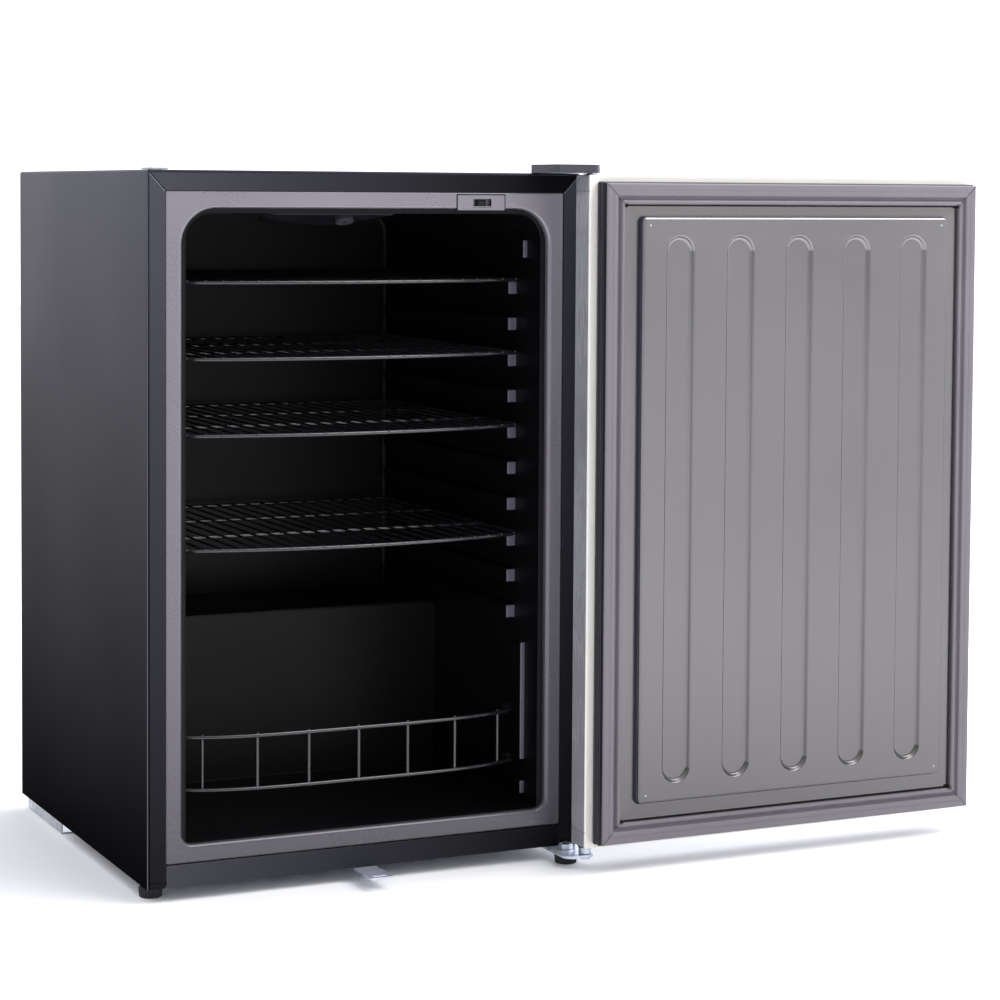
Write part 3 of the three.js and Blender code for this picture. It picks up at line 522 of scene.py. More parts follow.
# Each finish has the 8-bit colour that a screen shows, its roughness, and what sets it apart.
FINISHES = {
    # Painted shade: black_steel, flange_steel, header_steel and kick_steel are copies of one black paint,
    # each with its own painted shade: black_steel and flange_steel darker towards the floor, flange_steel,
    # header_steel and kick_steel darker towards the hinge side. black_steel also carries a painted highlight
    # on its folds.
    "black_steel": ((35, 35, 43), 0.42, dict(**PAINTED, specular=0.19, floor_shade_share=0.32, curve=2.4,
        tint=(0.74, 0.76, 1.0, 1.0), painted_fold_highlight=shade(104, 104, 112))),
    "flange_steel": ((58, 59, 68), 0.4, dict(**PAINTED, specular=0.35, floor_shade_share=0.42, hinge_shade_share=0.86)),
    "header_steel": ((52, 52, 60), 0.4, dict(**PAINTED, specular=0.35, hinge_shade_share=0.3)),
    "kick_steel": ((50, 50, 60), 0.4, dict(**PAINTED, specular=0.35, hinge_shade_share=0.35)),
    # Painted highlight: light steel for the rods along the flange mitres, in place of the light their edges
    # catch.
    "mitre_highlight_steel": ((130, 130, 145), 0.35, dict(metallic=0.3, vary=0.2, patch=60)),
    # Painted shade: grey_trim and grey_panel darken towards the floor.
    "grey_trim": ((144, 140, 148), 0.3, dict(metallic=0.55, specular=0.4, vary=0.035, patch=5, grain=900,
        bump=0.04, depth=0.03, floor_shade_share=0.62)),
    "grey_panel": ((149, 146, 147), 0.2, dict(metallic=0.9, specular=0.4, vary=0.05, patch=4, grain=900,
        bump=0.04, depth=0.03, floor_shade_share=0.64)),
    # Painted shade and reflection: a darker, bluer copy of grey_panel for the pan's walls, which mirror the
    # dark cabinet.
    "shaded_pan_wall": ((70, 72, 88), 0.3, dict(metallic=0.6, specular=0.4, patch=6, grain=900, bump=0.06)),
    "black_plastic": ((17, 17, 20), 0.45, dict(specular=0.35, vary=0.2, grain=1200, bump=0.15)),
    "liner_plastic": ((9, 9, 12), 0.4, dict(specular=0.2, vary=0.15, patch=6, grain=1400, bump=0.15,
        depth=0.04)),
    # Painted highlight: a lighter copy of liner_plastic for the fronts of the ledges and ribs, which catch
    # the light.
    "lit_ledge_plastic": ((98, 98, 112), 0.4, dict(specular=0.6, vary=0.12, patch=9, grain=1400, bump=0.12,
        depth=0.04)),
    "coated_wire": ((26, 26, 31), 0.22, dict(specular=0.9, vary=0.2, grain=800, bump=0.08, depth=0.04,
        rough_vary=0.04)),
    "stainless": ((172, 172, 175), 0.3, dict(metallic=0.9, vary=0.05, patch=3, grain=1100,
        stretch=(1, 1, 0.015), bump=0.2)),
    # Painted light: a brighter, less metallic copy of stainless for the door's walls; its upright streaks are
    # partly brushing, partly painted reflections.
    "lit_return_steel": ((190, 190, 196), 0.26, dict(metallic=0.35, vary=0.3, patch=5, grain=1100,
        stretch=(1, 1, 0.02), bump=0.2)),
    # Painted highlight: a near-white, hardly metallic copy of stainless for the door's lip.
    "lip_highlight_steel": ((246, 243, 236), 0.4, dict(metallic=0.05, vary=0.03, patch=5, grain=900, bump=0.05)),
    # Painted shade: a near-black copy of gasket_rubber for the gasket's side bellows.
    "shaded_seal_side": ((30, 29, 38), 0.35, dict(specular=0.4, patch=10, grain=500, bump=0.12)),
    # Painted shade: gasket_rubber darkens a little towards the floor.
    "gasket_rubber": ((118, 113, 120), 0.42, dict(vary=0.08, patch=10, grain=500, bump=0.12, depth=0.08,
        floor_shade_share=0.92)),
    "zinc": ((206, 214, 228), 0.34, dict(metallic=0.7, patch=60, grain=900, bump=0.12, depth=0.04,
        rough_vary=0.1)),
    "foam": ((214, 196, 140), 0.95, dict(vary=0.15, patch=60, grain=400, bump=0.6, depth=0.6)),
    "aluminium": ((200, 202, 204), 0.4, dict(metallic=1.0, grain=600)),
    "copper": ((150, 92, 66), 0.36, dict(metallic=1.0, vary=0.28, patch=35, grain=500, rough_vary=0.12)),
    "black_enamel": ((20, 20, 22), 0.35, dict(vary=0.2, patch=8, bump=0.2, depth=0.1, wear=0.2)),
    "coil_enamel": ((26, 26, 28), 0.45, dict(specular=0.4, vary=0.2, bump=0.15)),
    "black_rubber": ((26, 26, 27), 0.8, dict(specular=0.3, vary=0.15, grain=600, bump=0.3, depth=0.1)),
    "foot_plastic": ((38, 38, 40), 0.6, dict(specular=0.4, vary=0.15, grain=900, bump=0.25, depth=0.08,
        wear=0.2)),
    "dark_grey_plastic": ((60, 59, 67), 0.5, dict(specular=0.4, vary=0.08, grain=1300, bump=0.2)),
    "light_grey_plastic": ((186, 185, 196), 0.5, dict(specular=0.4, vary=0.08, grain=900, bump=0.15)),
    "white_plastic": ((214, 214, 210), 0.5, dict(vary=0.06, grain=800)),
    "chrome": ((222, 222, 226), 0.14, dict(metallic=1.0, vary=0.04, bump=0.04, rough_vary=0.04)),
    "circuit_board": ((34, 84, 54), 0.45, dict(vary=0.25, patch=300, grain=900, bump=0.2)),
}
MATERIALS = {
    name: finish(name, shade(*rgb), roughness, **more) for name, (rgb, roughness, more) in FINISHES.items()
}
MATERIALS["galvanised"] = spangled("galvanised", shade(186, 191, 198), 0.36)
MATERIALS["smoked_plastic"] = glassy("smoked_plastic", shade(58, 60, 70), 0.14)
MATERIALS["led_glow"] = glowing("led_glow", shade(235, 240, 255), 1.2)


# ---- Cabinet shell ----


def mirrored(outline):
    """The same outline of (x, z) on the other side of the cabinet."""
    return [(WIDTH - x, z) for x, z in reversed(outline)]


def cabinet_wrap():
    """The folded sheet round the sides and top, with its front flanges mitred at the upper corners."""
    corner = 3.0
    start = 2.8
    section = [(0, DEPTH), (0, FOLD)]
    section += [(FOLD - x, FOLD - y) for x, y in arc(0, 0, FOLD, 0, 90)][1:]
    section += [(start, 0), (start, SHEET)]
    section += [(FOLD - x, FOLD - y) for x, y in arc(0, 0, FOLD - SHEET, 90, 0)]
    section += [(SHEET, DEPTH)]
    stations = []
    for inset, y in section:
        path = [(inset, 0)]
        path += [(corner - x, HEIGHT - corner + z) for x, z in arc(0, 0, corner - inset, 0, 90)]
        stations.append(in_front(path + mirrored(path), y))
    shell = loft([list(ring) for ring in zip(*stations)])
    piece("cabinet_wrap", shell, "black_steel", stands_for=["outer_wrap"])

    gap = 0.9
    foot = 6.6
    left = [(start, foot), (FLANGE, foot), (FLANGE, HEIGHT - HEADER - gap), (start, HEIGHT - start - gap)]
    strips = [plate(outline, [], upright, 0, SHEET) for outline in (left, mirrored(left))]
    piece("side_flanges", merged(*strips), "flange_steel", bevel=0.5, segments=3)
    top = [(start + gap, HEIGHT - start), (FLANGE + gap, HEIGHT - HEADER)]
    header = plate(top + mirrored(top), [], upright, 0, SHEET)
    piece("header_flange", header, "header_steel", bevel=0.5, segments=3)
    # Painted highlight: thin light rods along the mitres of the flanges.
    seams = []
    for side in (1, -1):
        outer, inner = (WIDTH / 2 - side * (WIDTH / 2 - inset) for inset in (1.6, FLANGE - 0.2))
        seams.append(tube([(outer, 0.45, HEIGHT - 1.9 - gap), (inner, 0.45, HEIGHT - HEADER - gap)], 0.45, 8))
    piece("mitre_folds", merged(*seams), "mitre_highlight_steel")
    # Painted shade: black sheets just behind the flanges, which darken the gaps at their edges and mitres.
    edge = 1.4
    hidden = FLANGE + 0.8
    under = [
        [(x0, foot), (x1, foot), (x1, HEIGHT - edge), (x0, HEIGHT - edge)]
        for x0, x1 in ((edge, hidden), (WIDTH - hidden, WIDTH - edge))
    ]
    under.append([
        (hidden, HEIGHT - HEADER - 0.8), (WIDTH - hidden, HEIGHT - HEADER - 0.8),
        (WIDTH - hidden, HEIGHT - edge), (hidden, HEIGHT - edge),
    ])
    backing = [plate(outline, [], upright, SHEET + 0.08, SHEET + 0.5) for outline in under]
    piece("flange_backing", merged(*backing), "black_plastic", bevel=0.1)
    hem = [(start, 0), (FLANGE - 0.4, 0), (FLANGE - 0.4, foot - 0.6), (start, foot - 0.6)]
    ends = [plate(outline, [], upright, 0.35, SHEET + 0.3) for outline in (hem, mirrored(hem))]
    piece("flange_feet", merged(*ends), "flange_steel", bevel=0.3)


def kick_band():
    left, right = FLANGE + 0.9, WIDTH - FLANGE - 0.9
    top = KICK_TOP - 0.6
    lip = 3.0
    section = [(0.2, 0), (0.2, top - 0.8), (0.5, top - 0.2), (1.2, top)]
    section += [(lip, top), (lip, top - 1), (1.3, top - 1), (1.3, 0)]
    shape = plate(section, [], across, left, right)
    piece("kick_panel", shape, "kick_steel", stands_for=["kick_band"], bevel=0.25)


def screw_head(centre, radius, height):
    """A pan-head screw with a crossed recess, its head's underside at the centre."""
    shares = [(0.2, 0), (1, 0), (1, 0.35), (0.85, 0.75), (0.5, 1), (0.3, 1), (0.28, 0.45), (0.02, 0.45)]
    return lathe([(radius * r, height * h) for r, h in shares], centre, "y", sides=20)


def back_and_base():
    for node, finish_name, bevel in (
        ("back_panel", "black_steel", 0.25), ("base_plate", "galvanised", 0.25),
        ("bay_panel", "galvanised", 0.4), ("compressor_plate", "galvanised", 0.5),
        ("cabinet_foam", "foam", 0), ("evaporator_plate", "aluminium", 0.2),
    ):
        dress(node, finish_name, bevel)
    places = [(x, z) for z in (212, 330, 448, 566, 684, 740) for x in (8, WIDTH - 8)]
    places += [(90, 742), (410, 742)]
    screws = [screw_head((x, DEPTH, z), 3.6, 1.9) for x, z in places]
    piece("back_screws", merged(*screws), "zinc")


# ---- Throat frame, liner and light switch ----


def opening_loop(grow, steps=10):
    """The throat's outline, grown by less along the top so that the light switch clears its roll."""
    o = OPENING
    return rounded_rect(
        o.left - grow, o.right + grow, o.bottom - grow, o.top + grow * 0.5,
        o.low + grow, o.high + grow, steps,
    )


def throat_frame():
    """The silver surround: a flat face whose inner edge rolls back into the opening."""
    low, high = box_of("throat_frame")
    face, back = low.y, high.y
    roll = 4.6
    edge = 1.3

    def outline(inset):
        left, right = low.x - 1 + inset, high.x + 1 - inset
        return rounded_rect(left, right, low.z + inset, high.z - inset, 2.5 - inset, steps=3)

    window = rounded_rect(352, 406, 713.4, 724.6, 0.5, steps=2)
    front = face_at([outline(edge), window, opening_loop(roll)], face)
    rim = rings_at(opening_loop, (roll, face), *roll_over(roll, face, 9)[1:], (0, back))
    side = rings_at(outline, (edge, face), *roll_over(edge, face, 4)[1:], (0, back))
    pocket = [in_front(window, face), in_front(window, back)]
    shape = merged(front, skin(rim), skin(side), skin(pocket))
    piece("throat_surround", shape, "grey_trim", stands_for=["throat_frame"])


def liner_loop(grow):
    return grown(LINER, grow, max(LINER.low + grow, 0.5), LINER.high + grow, steps=8)


def liner_solid(grow, front, corner):
    """The liner's hollow as a solid, its back edges rounded, less the step over the compressor."""
    back = LINER.back + grow
    rings = rings_at(liner_loop, (grow, front), (grow, back - corner))
    for dx, dy in arc(0, 0, corner, 0, 90, 6)[1:]:
        rings.append(in_front(liner_loop(grow - (corner - dx)), back - corner + dy))
    top = HUMP.top - grow
    start = HUMP.front + grow
    tool = rounded_box(-20, WIDTH + 20, start, DEPTH + 60, -60, top, 4.5 - grow, 4)
    return carve(loft(rings), tool)


def liner():
    """A vacuum-formed tub with moulded shelf ledges and short ribs near the throat."""
    wall = LINER.wall
    front = 9.0
    tub = liner_solid(wall, front, 6)
    hollow = liner_solid(0, front - 5, 6)
    tub = carve(tub, hollow)
    piece("liner_tub", tub, "liner_plastic", stands_for=["liner"], bevel=0.5)
    brim = rings_at(opening_loop, (4, 8, front + 0.2))
    brim += rings_at(liner_loop, (0.6, front + 0.2), (0, front + 0.8), (0, front + 3), (1.2, front + 3))
    brim += rings_at(opening_loop, (4, 8, front + 1.4))
    piece("liner_brim", loft(brim, around=True), "liner_plastic")
    # The noses at the fronts of the ledges and ribs are a lighter plastic: a painted highlight.
    rails, noses = [], []

    def rib(parts, side, reach, y0, y1, z0, z1, radius):
        near, far = LINER.right - reach, LINER.right + wall * 0.8
        x0, x1 = (near, far) if side > 0 else (WIDTH - far, WIDTH - near)
        parts.append(rounded_box(x0, x1, y0, y1, z0, z1, radius, 4))

    for side in (1, -1):
        for i in range(LEDGE.count):
            top = LEDGE.highest - i * LEDGE.pitch
            low = top - LEDGE.height
            rib(rails, side, LEDGE.reach, LEDGE.front + 0.4, LEDGE.back, low, top, 1.8)
            rib(noses, side, LEDGE.reach - 0.2, LEDGE.front, LEDGE.front + 3.4, low + 0.2, top - 0.2, 1.5)
        for z0, z1 in ((52, 67), (91, 224), (656, 676)):
            rib(rails, side, 5, 42.4, 58, z0, z1, 1.6)
            rib(noses, side, 4.8, 42, 45.2, z0 + 0.2, z1 - 0.2, 1.4)
    piece("liner_ledges", merged(*rails), "liner_plastic")
    piece("ledge_noses", merged(*noses), "lit_ledge_plastic")


def light_switch():
    low, high = box_of("light_switch_bezel")
    middle = (low.y + high.y) / 2
    # Painted shadow: a black plate behind the bezel, a little wider on its left, right and top.
    shadow = rounded_rect(low.x - 1.3, high.x + 1.3, low.z, high.z + 1.3, 0.8, steps=2)
    window = rounded_rect(369, 391, 711.5, 721.5, 0.8, steps=3)
    piece("switch_shadow_plate", plate(shadow, [window], upright, low.y + 0.45, middle), "black_plastic")
    body = rounded_rect(low.x, high.x, low.z + 0.2, high.z, 1.0, steps=3)
    bezel = plate(body, [window], upright, low.y, high.y - 0.2)
    floor = plate(window, [], upright, 6.4, 7.4)
    bezel = merged(bezel, floor)
    piece("switch_bezel", bezel, "grey_trim", stands_for=["light_switch_bezel"], bevel=0.35, segments=3)
    low, high = box_of("light_switch_slider")
    knob = rounded_box(375.3, 385.5, low.y, 5.4, 714, 719, 0.7)
    parts = [knob, rounded_box(low.x, high.x, 4.6, high.y, low.z, high.z, 0.5)]
    for x in (377, 379, 381, 383):
        parts.append(rounded_box(x, x + 0.9, low.y - 0.35, low.y + 1, 714.6, 718.4, 0.2, 2))
    piece("switch_slider", merged(*parts), "black_plastic", "light_switch", ["light_switch_slider"])


# ---- Shelves and guard ----


def shelf_front(x):
    middle = (SHELF.left + SHELF.right) / 2
    u = (x - middle) / (SHELF.right - middle)
    return SHELF.end - SHELF.bow * (1 - u * u)


def wire_shelves():
    rod, wire = 2.2, 1.35
    steps = 28
    for number in (1, 2, 3, 4):
        low, high = box_of(f"shelf_{number}")
        z = low.z + rod
        left, right, back = low.x + rod, high.x - rod, SHELF.back - rod
        places = [left + (right - left) * i / steps for i in range(steps + 1)]
        front = [(x, shelf_front(x) + rod, z) for x in places]
        corner = front[0][1] + 8
        start = with_bends([(left, back, z), (left, corner, z), front[1]], 5)
        end = with_bends([front[-2], (right, corner, z), (right, back, z)], 5)
        parts = [tube(start + front[2:-2] + end, rod, 12)]
        parts.append(tube([(left - 0.4, back, z), (right + 0.4, back, z)], rod, 12))
        for y in (150, 290):
            parts.append(tube([(left, y, z - 0.3), (right, y, z - 0.3)], rod * 0.85, 10))
        for i in range(SHELF.wires):
            x = left + (right - left) * (i + 0.5) / SHELF.wires
            nose = max(shelf_front(x) + 0.9, low.y + 1.2)
            parts.append(tube([(x, nose, high.z - wire), (x, back + 1.6, high.z - wire)], wire, 8))
        shelf = f"shelf_{number}"
        piece(f"wire_{shelf}", merged(*parts), "coated_wire", f"{shelf}_body", [shelf])


def bottle_guard():
    """Two bowed rails on seven posts, with their ends turned back into the side walls' ribs."""
    middle = (GUARD.left + GUARD.right) / 2
    half = GUARD.right - middle

    def bow(x):
        return GUARD.end - GUARD.bow * (1 - ((x - middle) / half) ** 4)

    parts = []
    for z in (GUARD.low, GUARD.high):
        run = [(middle + half * 0.97 * i / 12, bow(middle + half * 0.97 * i / 12), z) for i in range(-12, 13)]
        ends = [(GUARD.left + 1, 58, z), (GUARD.left + 1, 82, z), (GUARD.left - 7, 82, z)]
        start = with_bends([*ends[::-1], run[0], run[1]], 3, 4)
        finish_end = [Vector((WIDTH - p.x, p.y, p.z)) for p in reversed(start)]
        parts.append(tube([*start, *(Vector(p) for p in run[2:-2]), *finish_end], GUARD.rod, 12))
    for i in range(GUARD.posts):
        x = middle + (i - (GUARD.posts - 1) / 2) * 58
        y = bow(x) + 1.4
        parts.append(tube([(x, y, GUARD.low - 1.5), (x, y, GUARD.high + 1.5)], GUARD.rod * 0.85, 10))
    piece("bottle_rail", merged(*parts), "coated_wire", stands_for=["bottle_guard"])


# ---- Lamp and thermostat ----

LAMP = SimpleNamespace(x=229.5, y=130, half=74, low=33, drop=12.7)


DIAL_X = 249


def on_lamp_slope(point):
    """Carries a point from an upright dial at the origin onto the lamp's front slope."""
    x, y, z = point
    turn = -math.atan2(LAMP.drop, LAMP.half - LAMP.low)
    middle_y = LAMP.y - (LAMP.half + LAMP.low) / 2
    middle_z = LINER.top - 0.3 - LAMP.drop / 2
    across, along = math.cos(turn), math.sin(turn)
    return (DIAL_X + x, middle_y + y * across - z * along, middle_z + y * along + z * across)


def lamp():
    top = LINER.top - 0.3
    half, low, drop = LAMP.half, LAMP.low, LAMP.drop

    def ring(reach, z, radius):
        x, y = LAMP.x, LAMP.y
        return laid(rounded_rect(x - reach, x + reach, y - reach, y + reach, radius), z)

    outside = loft([
        ring(half, top, 9), ring(half, top - 1.4, 9), ring(half - 3, top - 2.4, 8),
        ring(low + 3, top - drop + 1.0, 6), ring(low, top - drop, 5),
    ])
    inside = loft([ring(half - 3, top + 1, 8), ring(half - 5, top - 1.2, 7), ring(low, top - drop + 2, 5)])
    piece("lamp_cover", carve(outside, inside), "smoked_plastic", stands_for=["lamp_housing"])
    dress("led_board", "circuit_board", 0.2)
    board, _ = box_of("led_board")
    lights = []
    for i in range(6):
        x = board.x + 6 + i % 3 * 22
        y = board.y + 8 + i // 3 * 26
        lights.append(rounded_box(x - 2, x + 2, y - 2, y + 2, board.z - 1.6, board.z, 0.5, 2))
    piece("led_chips", merged(*lights), "led_glow")


def thermostat():
    """A ribbed knob with a raised pointer, standing on the lamp's slope."""
    knob = [(9.2, -0.3), (10, -0.9), (10, -3.6), (9.2, -4.3), (6.6, -4.4), (6.0, -3.7), (0.4, -3.7)]
    verts, faces = lathe(knob, (0, 0, 0), sides=96, ribs=24, rib_depth=0.55)
    spindle = lathe([(2.6, -0.5), (2.9, 0), (2.9, 2.6), (2.4, 3)], (0, 0, 0), sides=24)
    pointer = rounded_box(-1, 1, -6, 3.5, -5.0, -3.4, 0.4)
    verts, faces = merged((verts, faces), spindle, pointer)
    shape = [on_lamp_slope(v) for v in verts], faces
    piece("thermostat_knob", shape, "dark_grey_plastic", "thermostat", ["thermostat_dial"])


# ---- Cooling circuit ----

CONDENSER = SimpleNamespace(y=506, radius=2.6, left=80, right=440, top=690, rows=9, pitch=50, bend=24)


def compressor():
    low, high = box_of("compressor")
    x, y = 350.0, 412.0
    r = 62.0
    base, top = low.z, high.z
    seam = (base + top) / 2
    lower = ((0.55, 6), (0.74, 10), (0.87, 17), (0.94, 26), (0.97, 36))
    belt = ((0.97, -4.2), (0.985, -3.4), (1, -2.8), (1, 2.8), (0.985, 3.4), (0.965, 4.2), (0.965, 16))
    upper = ((0.95, 33), (0.9, 22), (0.8, 13), (0.62, 6), (0.4, 2), (0.2, 0.4))
    profile = [(6, base + 4), *((r * share, base + z) for share, z in lower)]
    profile += [(r * share, seam + z) for share, z in belt]
    profile += [*((r * share, top - z) for share, z in upper), (3, top)]
    piece("compressor_shell", lathe(profile, (x, y, 0), sides=72), "black_enamel", stands_for=["compressor"])
    corners = [(x + side_x * 78, y + side_y * 39, 0) for side_x in (-1, 1) for side_y in (-1, 1)]
    plan = rounded_rect(x - 92, x + 92, y - 52, y + 52, 14)
    holes = [arc(cx, cy, 7.6, 0, 337.5, 15) for cx, cy, _ in corners]
    piece("compressor_feet", plate(plan, holes, level, base, base + 5), "black_enamel", bevel=0.9, segments=3)
    washer = [(2, 31.6), (8.6, 31.6), (8.6, 32.6), (2, 32.8)]
    nut = [(2, 32.6), (5.4, 32.6), (5.6, 33.2), (5.6, 36), (5.0, 36.8), (2, 37)]
    studs = []
    for corner in corners:
        studs += [lathe(washer, corner, sides=24), lathe(nut, corner, sides=6)]
    piece("compressor_nuts", merged(*studs), "zinc", bevel=0.2)
    names = ("front_left", "rear_left", "front_right", "rear_right")
    for name, corner in zip(names, corners):
        low, high = box_of(f"grommet_{name}")
        z = low.z
        bumps = [
            (3, z), (10, z), (10.2, z + 2), (9.4, z + 4.4), (7.1, z + 6), (7.1, z + 12), (9, z + 13.4),
            (9, high.z - 1.2), (7.6, high.z), (3, high.z),
        ]
        shape = lathe(bumps, corner, sides=32)
        piece(f"rubber_grommet_{name}", shape, "black_rubber", stands_for=[f"grommet_{name}"])


def relay_and_tray():
    low, high = box_of("compressor_relay_cover")
    parts = [rounded_box(low.x, high.x, low.y, high.y, low.z, high.z, 4, 4)]
    for z in (72, 80, 88, 96, 104):
        parts.append(rounded_box(low.x - 0.9, low.x + 2, low.y + 8, high.y - 8, z, z + 2, 0.6, 2))
    piece("relay_cover", merged(*parts), "black_plastic", stands_for=["compressor_relay_cover"])
    low, high = box_of("drip_tray")
    rings = []
    for inset, z, radius in (
        (3, low.z, 10), (1.4, low.z + 1.2, 11), (1.0, high.z - 3, 12), (0, high.z - 2.6, 12),
        (0, high.z - 0.6, 12), (0.5, high.z, 12), (2.2, high.z, 11), (2.8, high.z - 1, 11),
        (3.2, low.z + 3, 10), (4.6, low.z + 2, 9),
    ):
        left, right, front, back = low.x + inset, high.x - inset, low.y + inset, high.y - inset
        rings.append(laid(rounded_rect(left, right, front, back, radius), z))
    piece("defrost_tray", loft(rings), "black_plastic", stands_for=["drip_tray"])


def pipes():
    feeder = 60
    y = CONDENSER.y
    suction = [(412, 440, 100), (455, 440, 100), (455, 440, 198.4)]
    discharge = [(292, 446, 60), (236, 446, 60), (236, 476, 60), (feeder, 476, 60), (feeder, y, 60)]
    discharge.append((feeder, y, 214))
    capillary = [(440, y, 74), (440, y, 40), (440, 478, 40), (474, 478, 40), (474, 478, 198.4)]
    for name, node, run, bend, steps, radius, sides in (
        ("suction_pipe", "suction_line", suction, 14, 8, 4, 16),
        ("discharge_pipe", "discharge_line", discharge, 12, 8, 2.6, 12),
        ("capillary_pipe", "capillary_tube", capillary, 8, 6, 1.3, 8),
    ):
        piece(name, tube(with_bends(run, bend, steps), radius, sides), "copper", stands_for=[node])
    low, high = box_of("filter_drier")
    neck = 2.5
    profile = [
        (neck, low.z + 0.4), (neck, low.z + 9), (3.2, low.z + 12), (6.6, low.z + 16), (8.4, low.z + 19),
        (9, low.z + 23), (9, high.z - 22), (8.3, high.z - 17), (6, high.z - 12), (3.2, high.z - 8),
        (neck, high.z - 6), (neck, high.z - 0.4),
    ]
    piece("drier", lathe(profile, (CONDENSER.right, y, 0), sides=32), "copper", stands_for=["filter_drier"])
    low, high = box_of("drain_tube")
    bottom, top = low.z + 0.2, high.z - 0.2
    profile = [(4.4, bottom), (6, bottom), (6, top), (4.4, top), (4.4, bottom)]
    piece("drain_pipe", lathe(profile, (350, 430, 0), sides=32), "white_plastic", stands_for=["drain_tube"])
    dress("cord_gland", "black_plastic", 0.4)


def condenser():
    """The serpentine tube with its fine upright wires, clamped to two strips."""
    c = CONDENSER
    corners = [(60, c.y, 216), (60, c.y, c.top)]
    for i in range(c.rows):
        z = c.top - i * c.pitch
        ends = (c.right, c.left) if i % 2 else (c.left, c.right)
        if i > 0:
            corners.append((ends[0], c.y, z))
        corners.append((ends[1], c.y, z))
    corners.append((c.right, c.y, 185))
    coil = tube(with_bends(corners, c.bend, 8), c.radius, 12)
    piece("condenser_tube", coil, "coil_enamel", stands_for=["condenser_coil"])
    wires = []
    wire = 0.75
    bottom = c.top - (c.rows - 1) * c.pitch - 14
    for i in range(40):
        x = 112 + i * 7.4
        for y in (c.y - c.radius - wire * 0.6, c.y + c.radius + wire * 0.6):
            wires.append(tube([(x, y, bottom), (x, y, c.top + 14)], wire, 6))
    piece("condenser_wires", merged(*wires), "coil_enamel")
    for side in ("left", "right"):
        dress(f"condenser_strip_{side}", "galvanised", 0.4)


# ---- Feet, hinges and strike ----


def feet():
    for side, x, y in (("left", 14.5, 34), ("right", 480, -15)):
        low, high = box_of(f"foot_{side}")
        z = low.z
        pad = [(4, z), (11.0, z), (11.8, z + 0.5), (12.2, z + 1.5), (11.9, z + 2.4), (12.3, z + 3.2)]
        pad += [(12.9, z + 8.6), (12.7, z + 9.8), (11.8, z + 10.6), (10.4, z + 10.8), (3, z + 10.8)]
        shape = lathe(pad, (x, y, 0), sides=144, ribs=36, rib_depth=0.6)
        stem = lathe([(3.2, z + 10), (4, z + 10.6), (4, high.z - 0.4), (3.4, high.z)], (x, y, 0), sides=28)
        body = f"levelling_foot_{side}"
        piece(f"levelling_pad_{side}", merged(shape, stem), "foot_plastic", body, [f"foot_{side}"])


def hinges():
    for node, edge in (("foot_nut", 0.6), ("bottom_hinge_plate", 0.6), ("bottom_hinge_pin", 0.3),
                       ("bottom_hinge_screw_front", 0.3), ("bottom_hinge_screw_rear", 0.3),
                       ("top_hinge_bracket", 0.5), ("top_hinge_pin", 0.3), ("lock_strike", 0.5)):
        dress(node, "zinc", edge)
    dress("hinge_hole_plug", "light_grey_plastic", 0.6)
    dress("top_hinge_cover", "dark_grey_plastic", 0.9, 3)


# ---- Door ----

# A groove's wall: how far in from its edge, and the share of its depth reached there.
GROOVE_FALL = [
    (0, 0), (0.4, 0.02), (0.9, 0.09), (1.5, 0.26), (2.1, 0.48), (2.7, 0.7), (3.4, 0.88), (4.4, 0.98),
    (5.6, 1),
]


def door_rect(inset, radius):
    return grown(DOOR, -inset, radius, steps=4)


def seal_rect(inset, radius, steps=4):
    """A rectangle inset from the gasket's own outer outline."""
    edge = SEAL.outset + inset
    left, right = DOOR.left + edge, DOOR.right - 0.5 - edge
    return rounded_rect(left, right, DOOR.bottom - 2.5 + edge, DOOR.top + 1 - edge, radius, steps=steps)


def door_skin():
    """A folded steel tray: outer face, four walls and the lip that the inner panel closes."""
    d = DOOR
    fold = 2.0
    sheet = 1.2
    lip = rings_at(door_rect, (15, 1, d.front + 1), (15, 1, d.front))
    lip += [in_front(door_rect(inset, 2.6), y) for inset, y in roll_over(fold, d.front, 5)]
    face = [in_front(door_rect(fold - x, 2.6), d.back - fold + y) for x, y in arc(0, 0, fold, 0, 90, 5)]
    inside = (d.front + fold, d.back - fold, d.back - 1, d.front + 1)
    inner_front, inner_back, bottom, brim = rings_at(door_rect, *((sheet, 1.6, y) for y in inside))
    piece("door_outer_skin", loft([bottom, inner_back, *face]), "stainless", "door", ["door_skin"])
    # The lip is near white: a painted highlight on its steel.
    piece("door_lip", loft([*lip, inner_front, brim], around=True), "lip_highlight_steel", "door")
    walls = loft([lip[-1], face[0], inner_back, inner_front], around=True)
    low, high = box_of("lock_bolt")
    room = 0.7
    slot = rounded_box(
        low.x - room, high.x + room, low.y - room, high.y + room, d.bottom - 5, d.bottom + 9, 0.3, 2,
    )
    # The walls get a brighter, less metallic copy of the steel: partly brushing, partly painted reflections.
    piece("door_returns", carve(walls, slot), "lit_return_steel", "door")
    dress("door_foam", "foam", 0)
    sides = ((d.left - 0.08, d.left + 0.5), (d.right - 0.5, d.right - 0.01))
    seams = [
        rounded_box(x0, x1, d.front + 0.3, d.back - 2, z, z + 0.5, 0.15, 2)
        for x0, x1 in sides for z in (26.5, 730.5)
    ]
    piece("door_seams", merged(*seams), "black_plastic", "door")


def stadium(x, half, z0, z1):
    return arc(x, z1 - half, half, 0, 180, 12) + arc(x, z0 + half, half, 180, 360, 12)


def pan_loop(grow):
    return grown(PAN, grow, max(PAN.radius + grow, 2), steps=4)


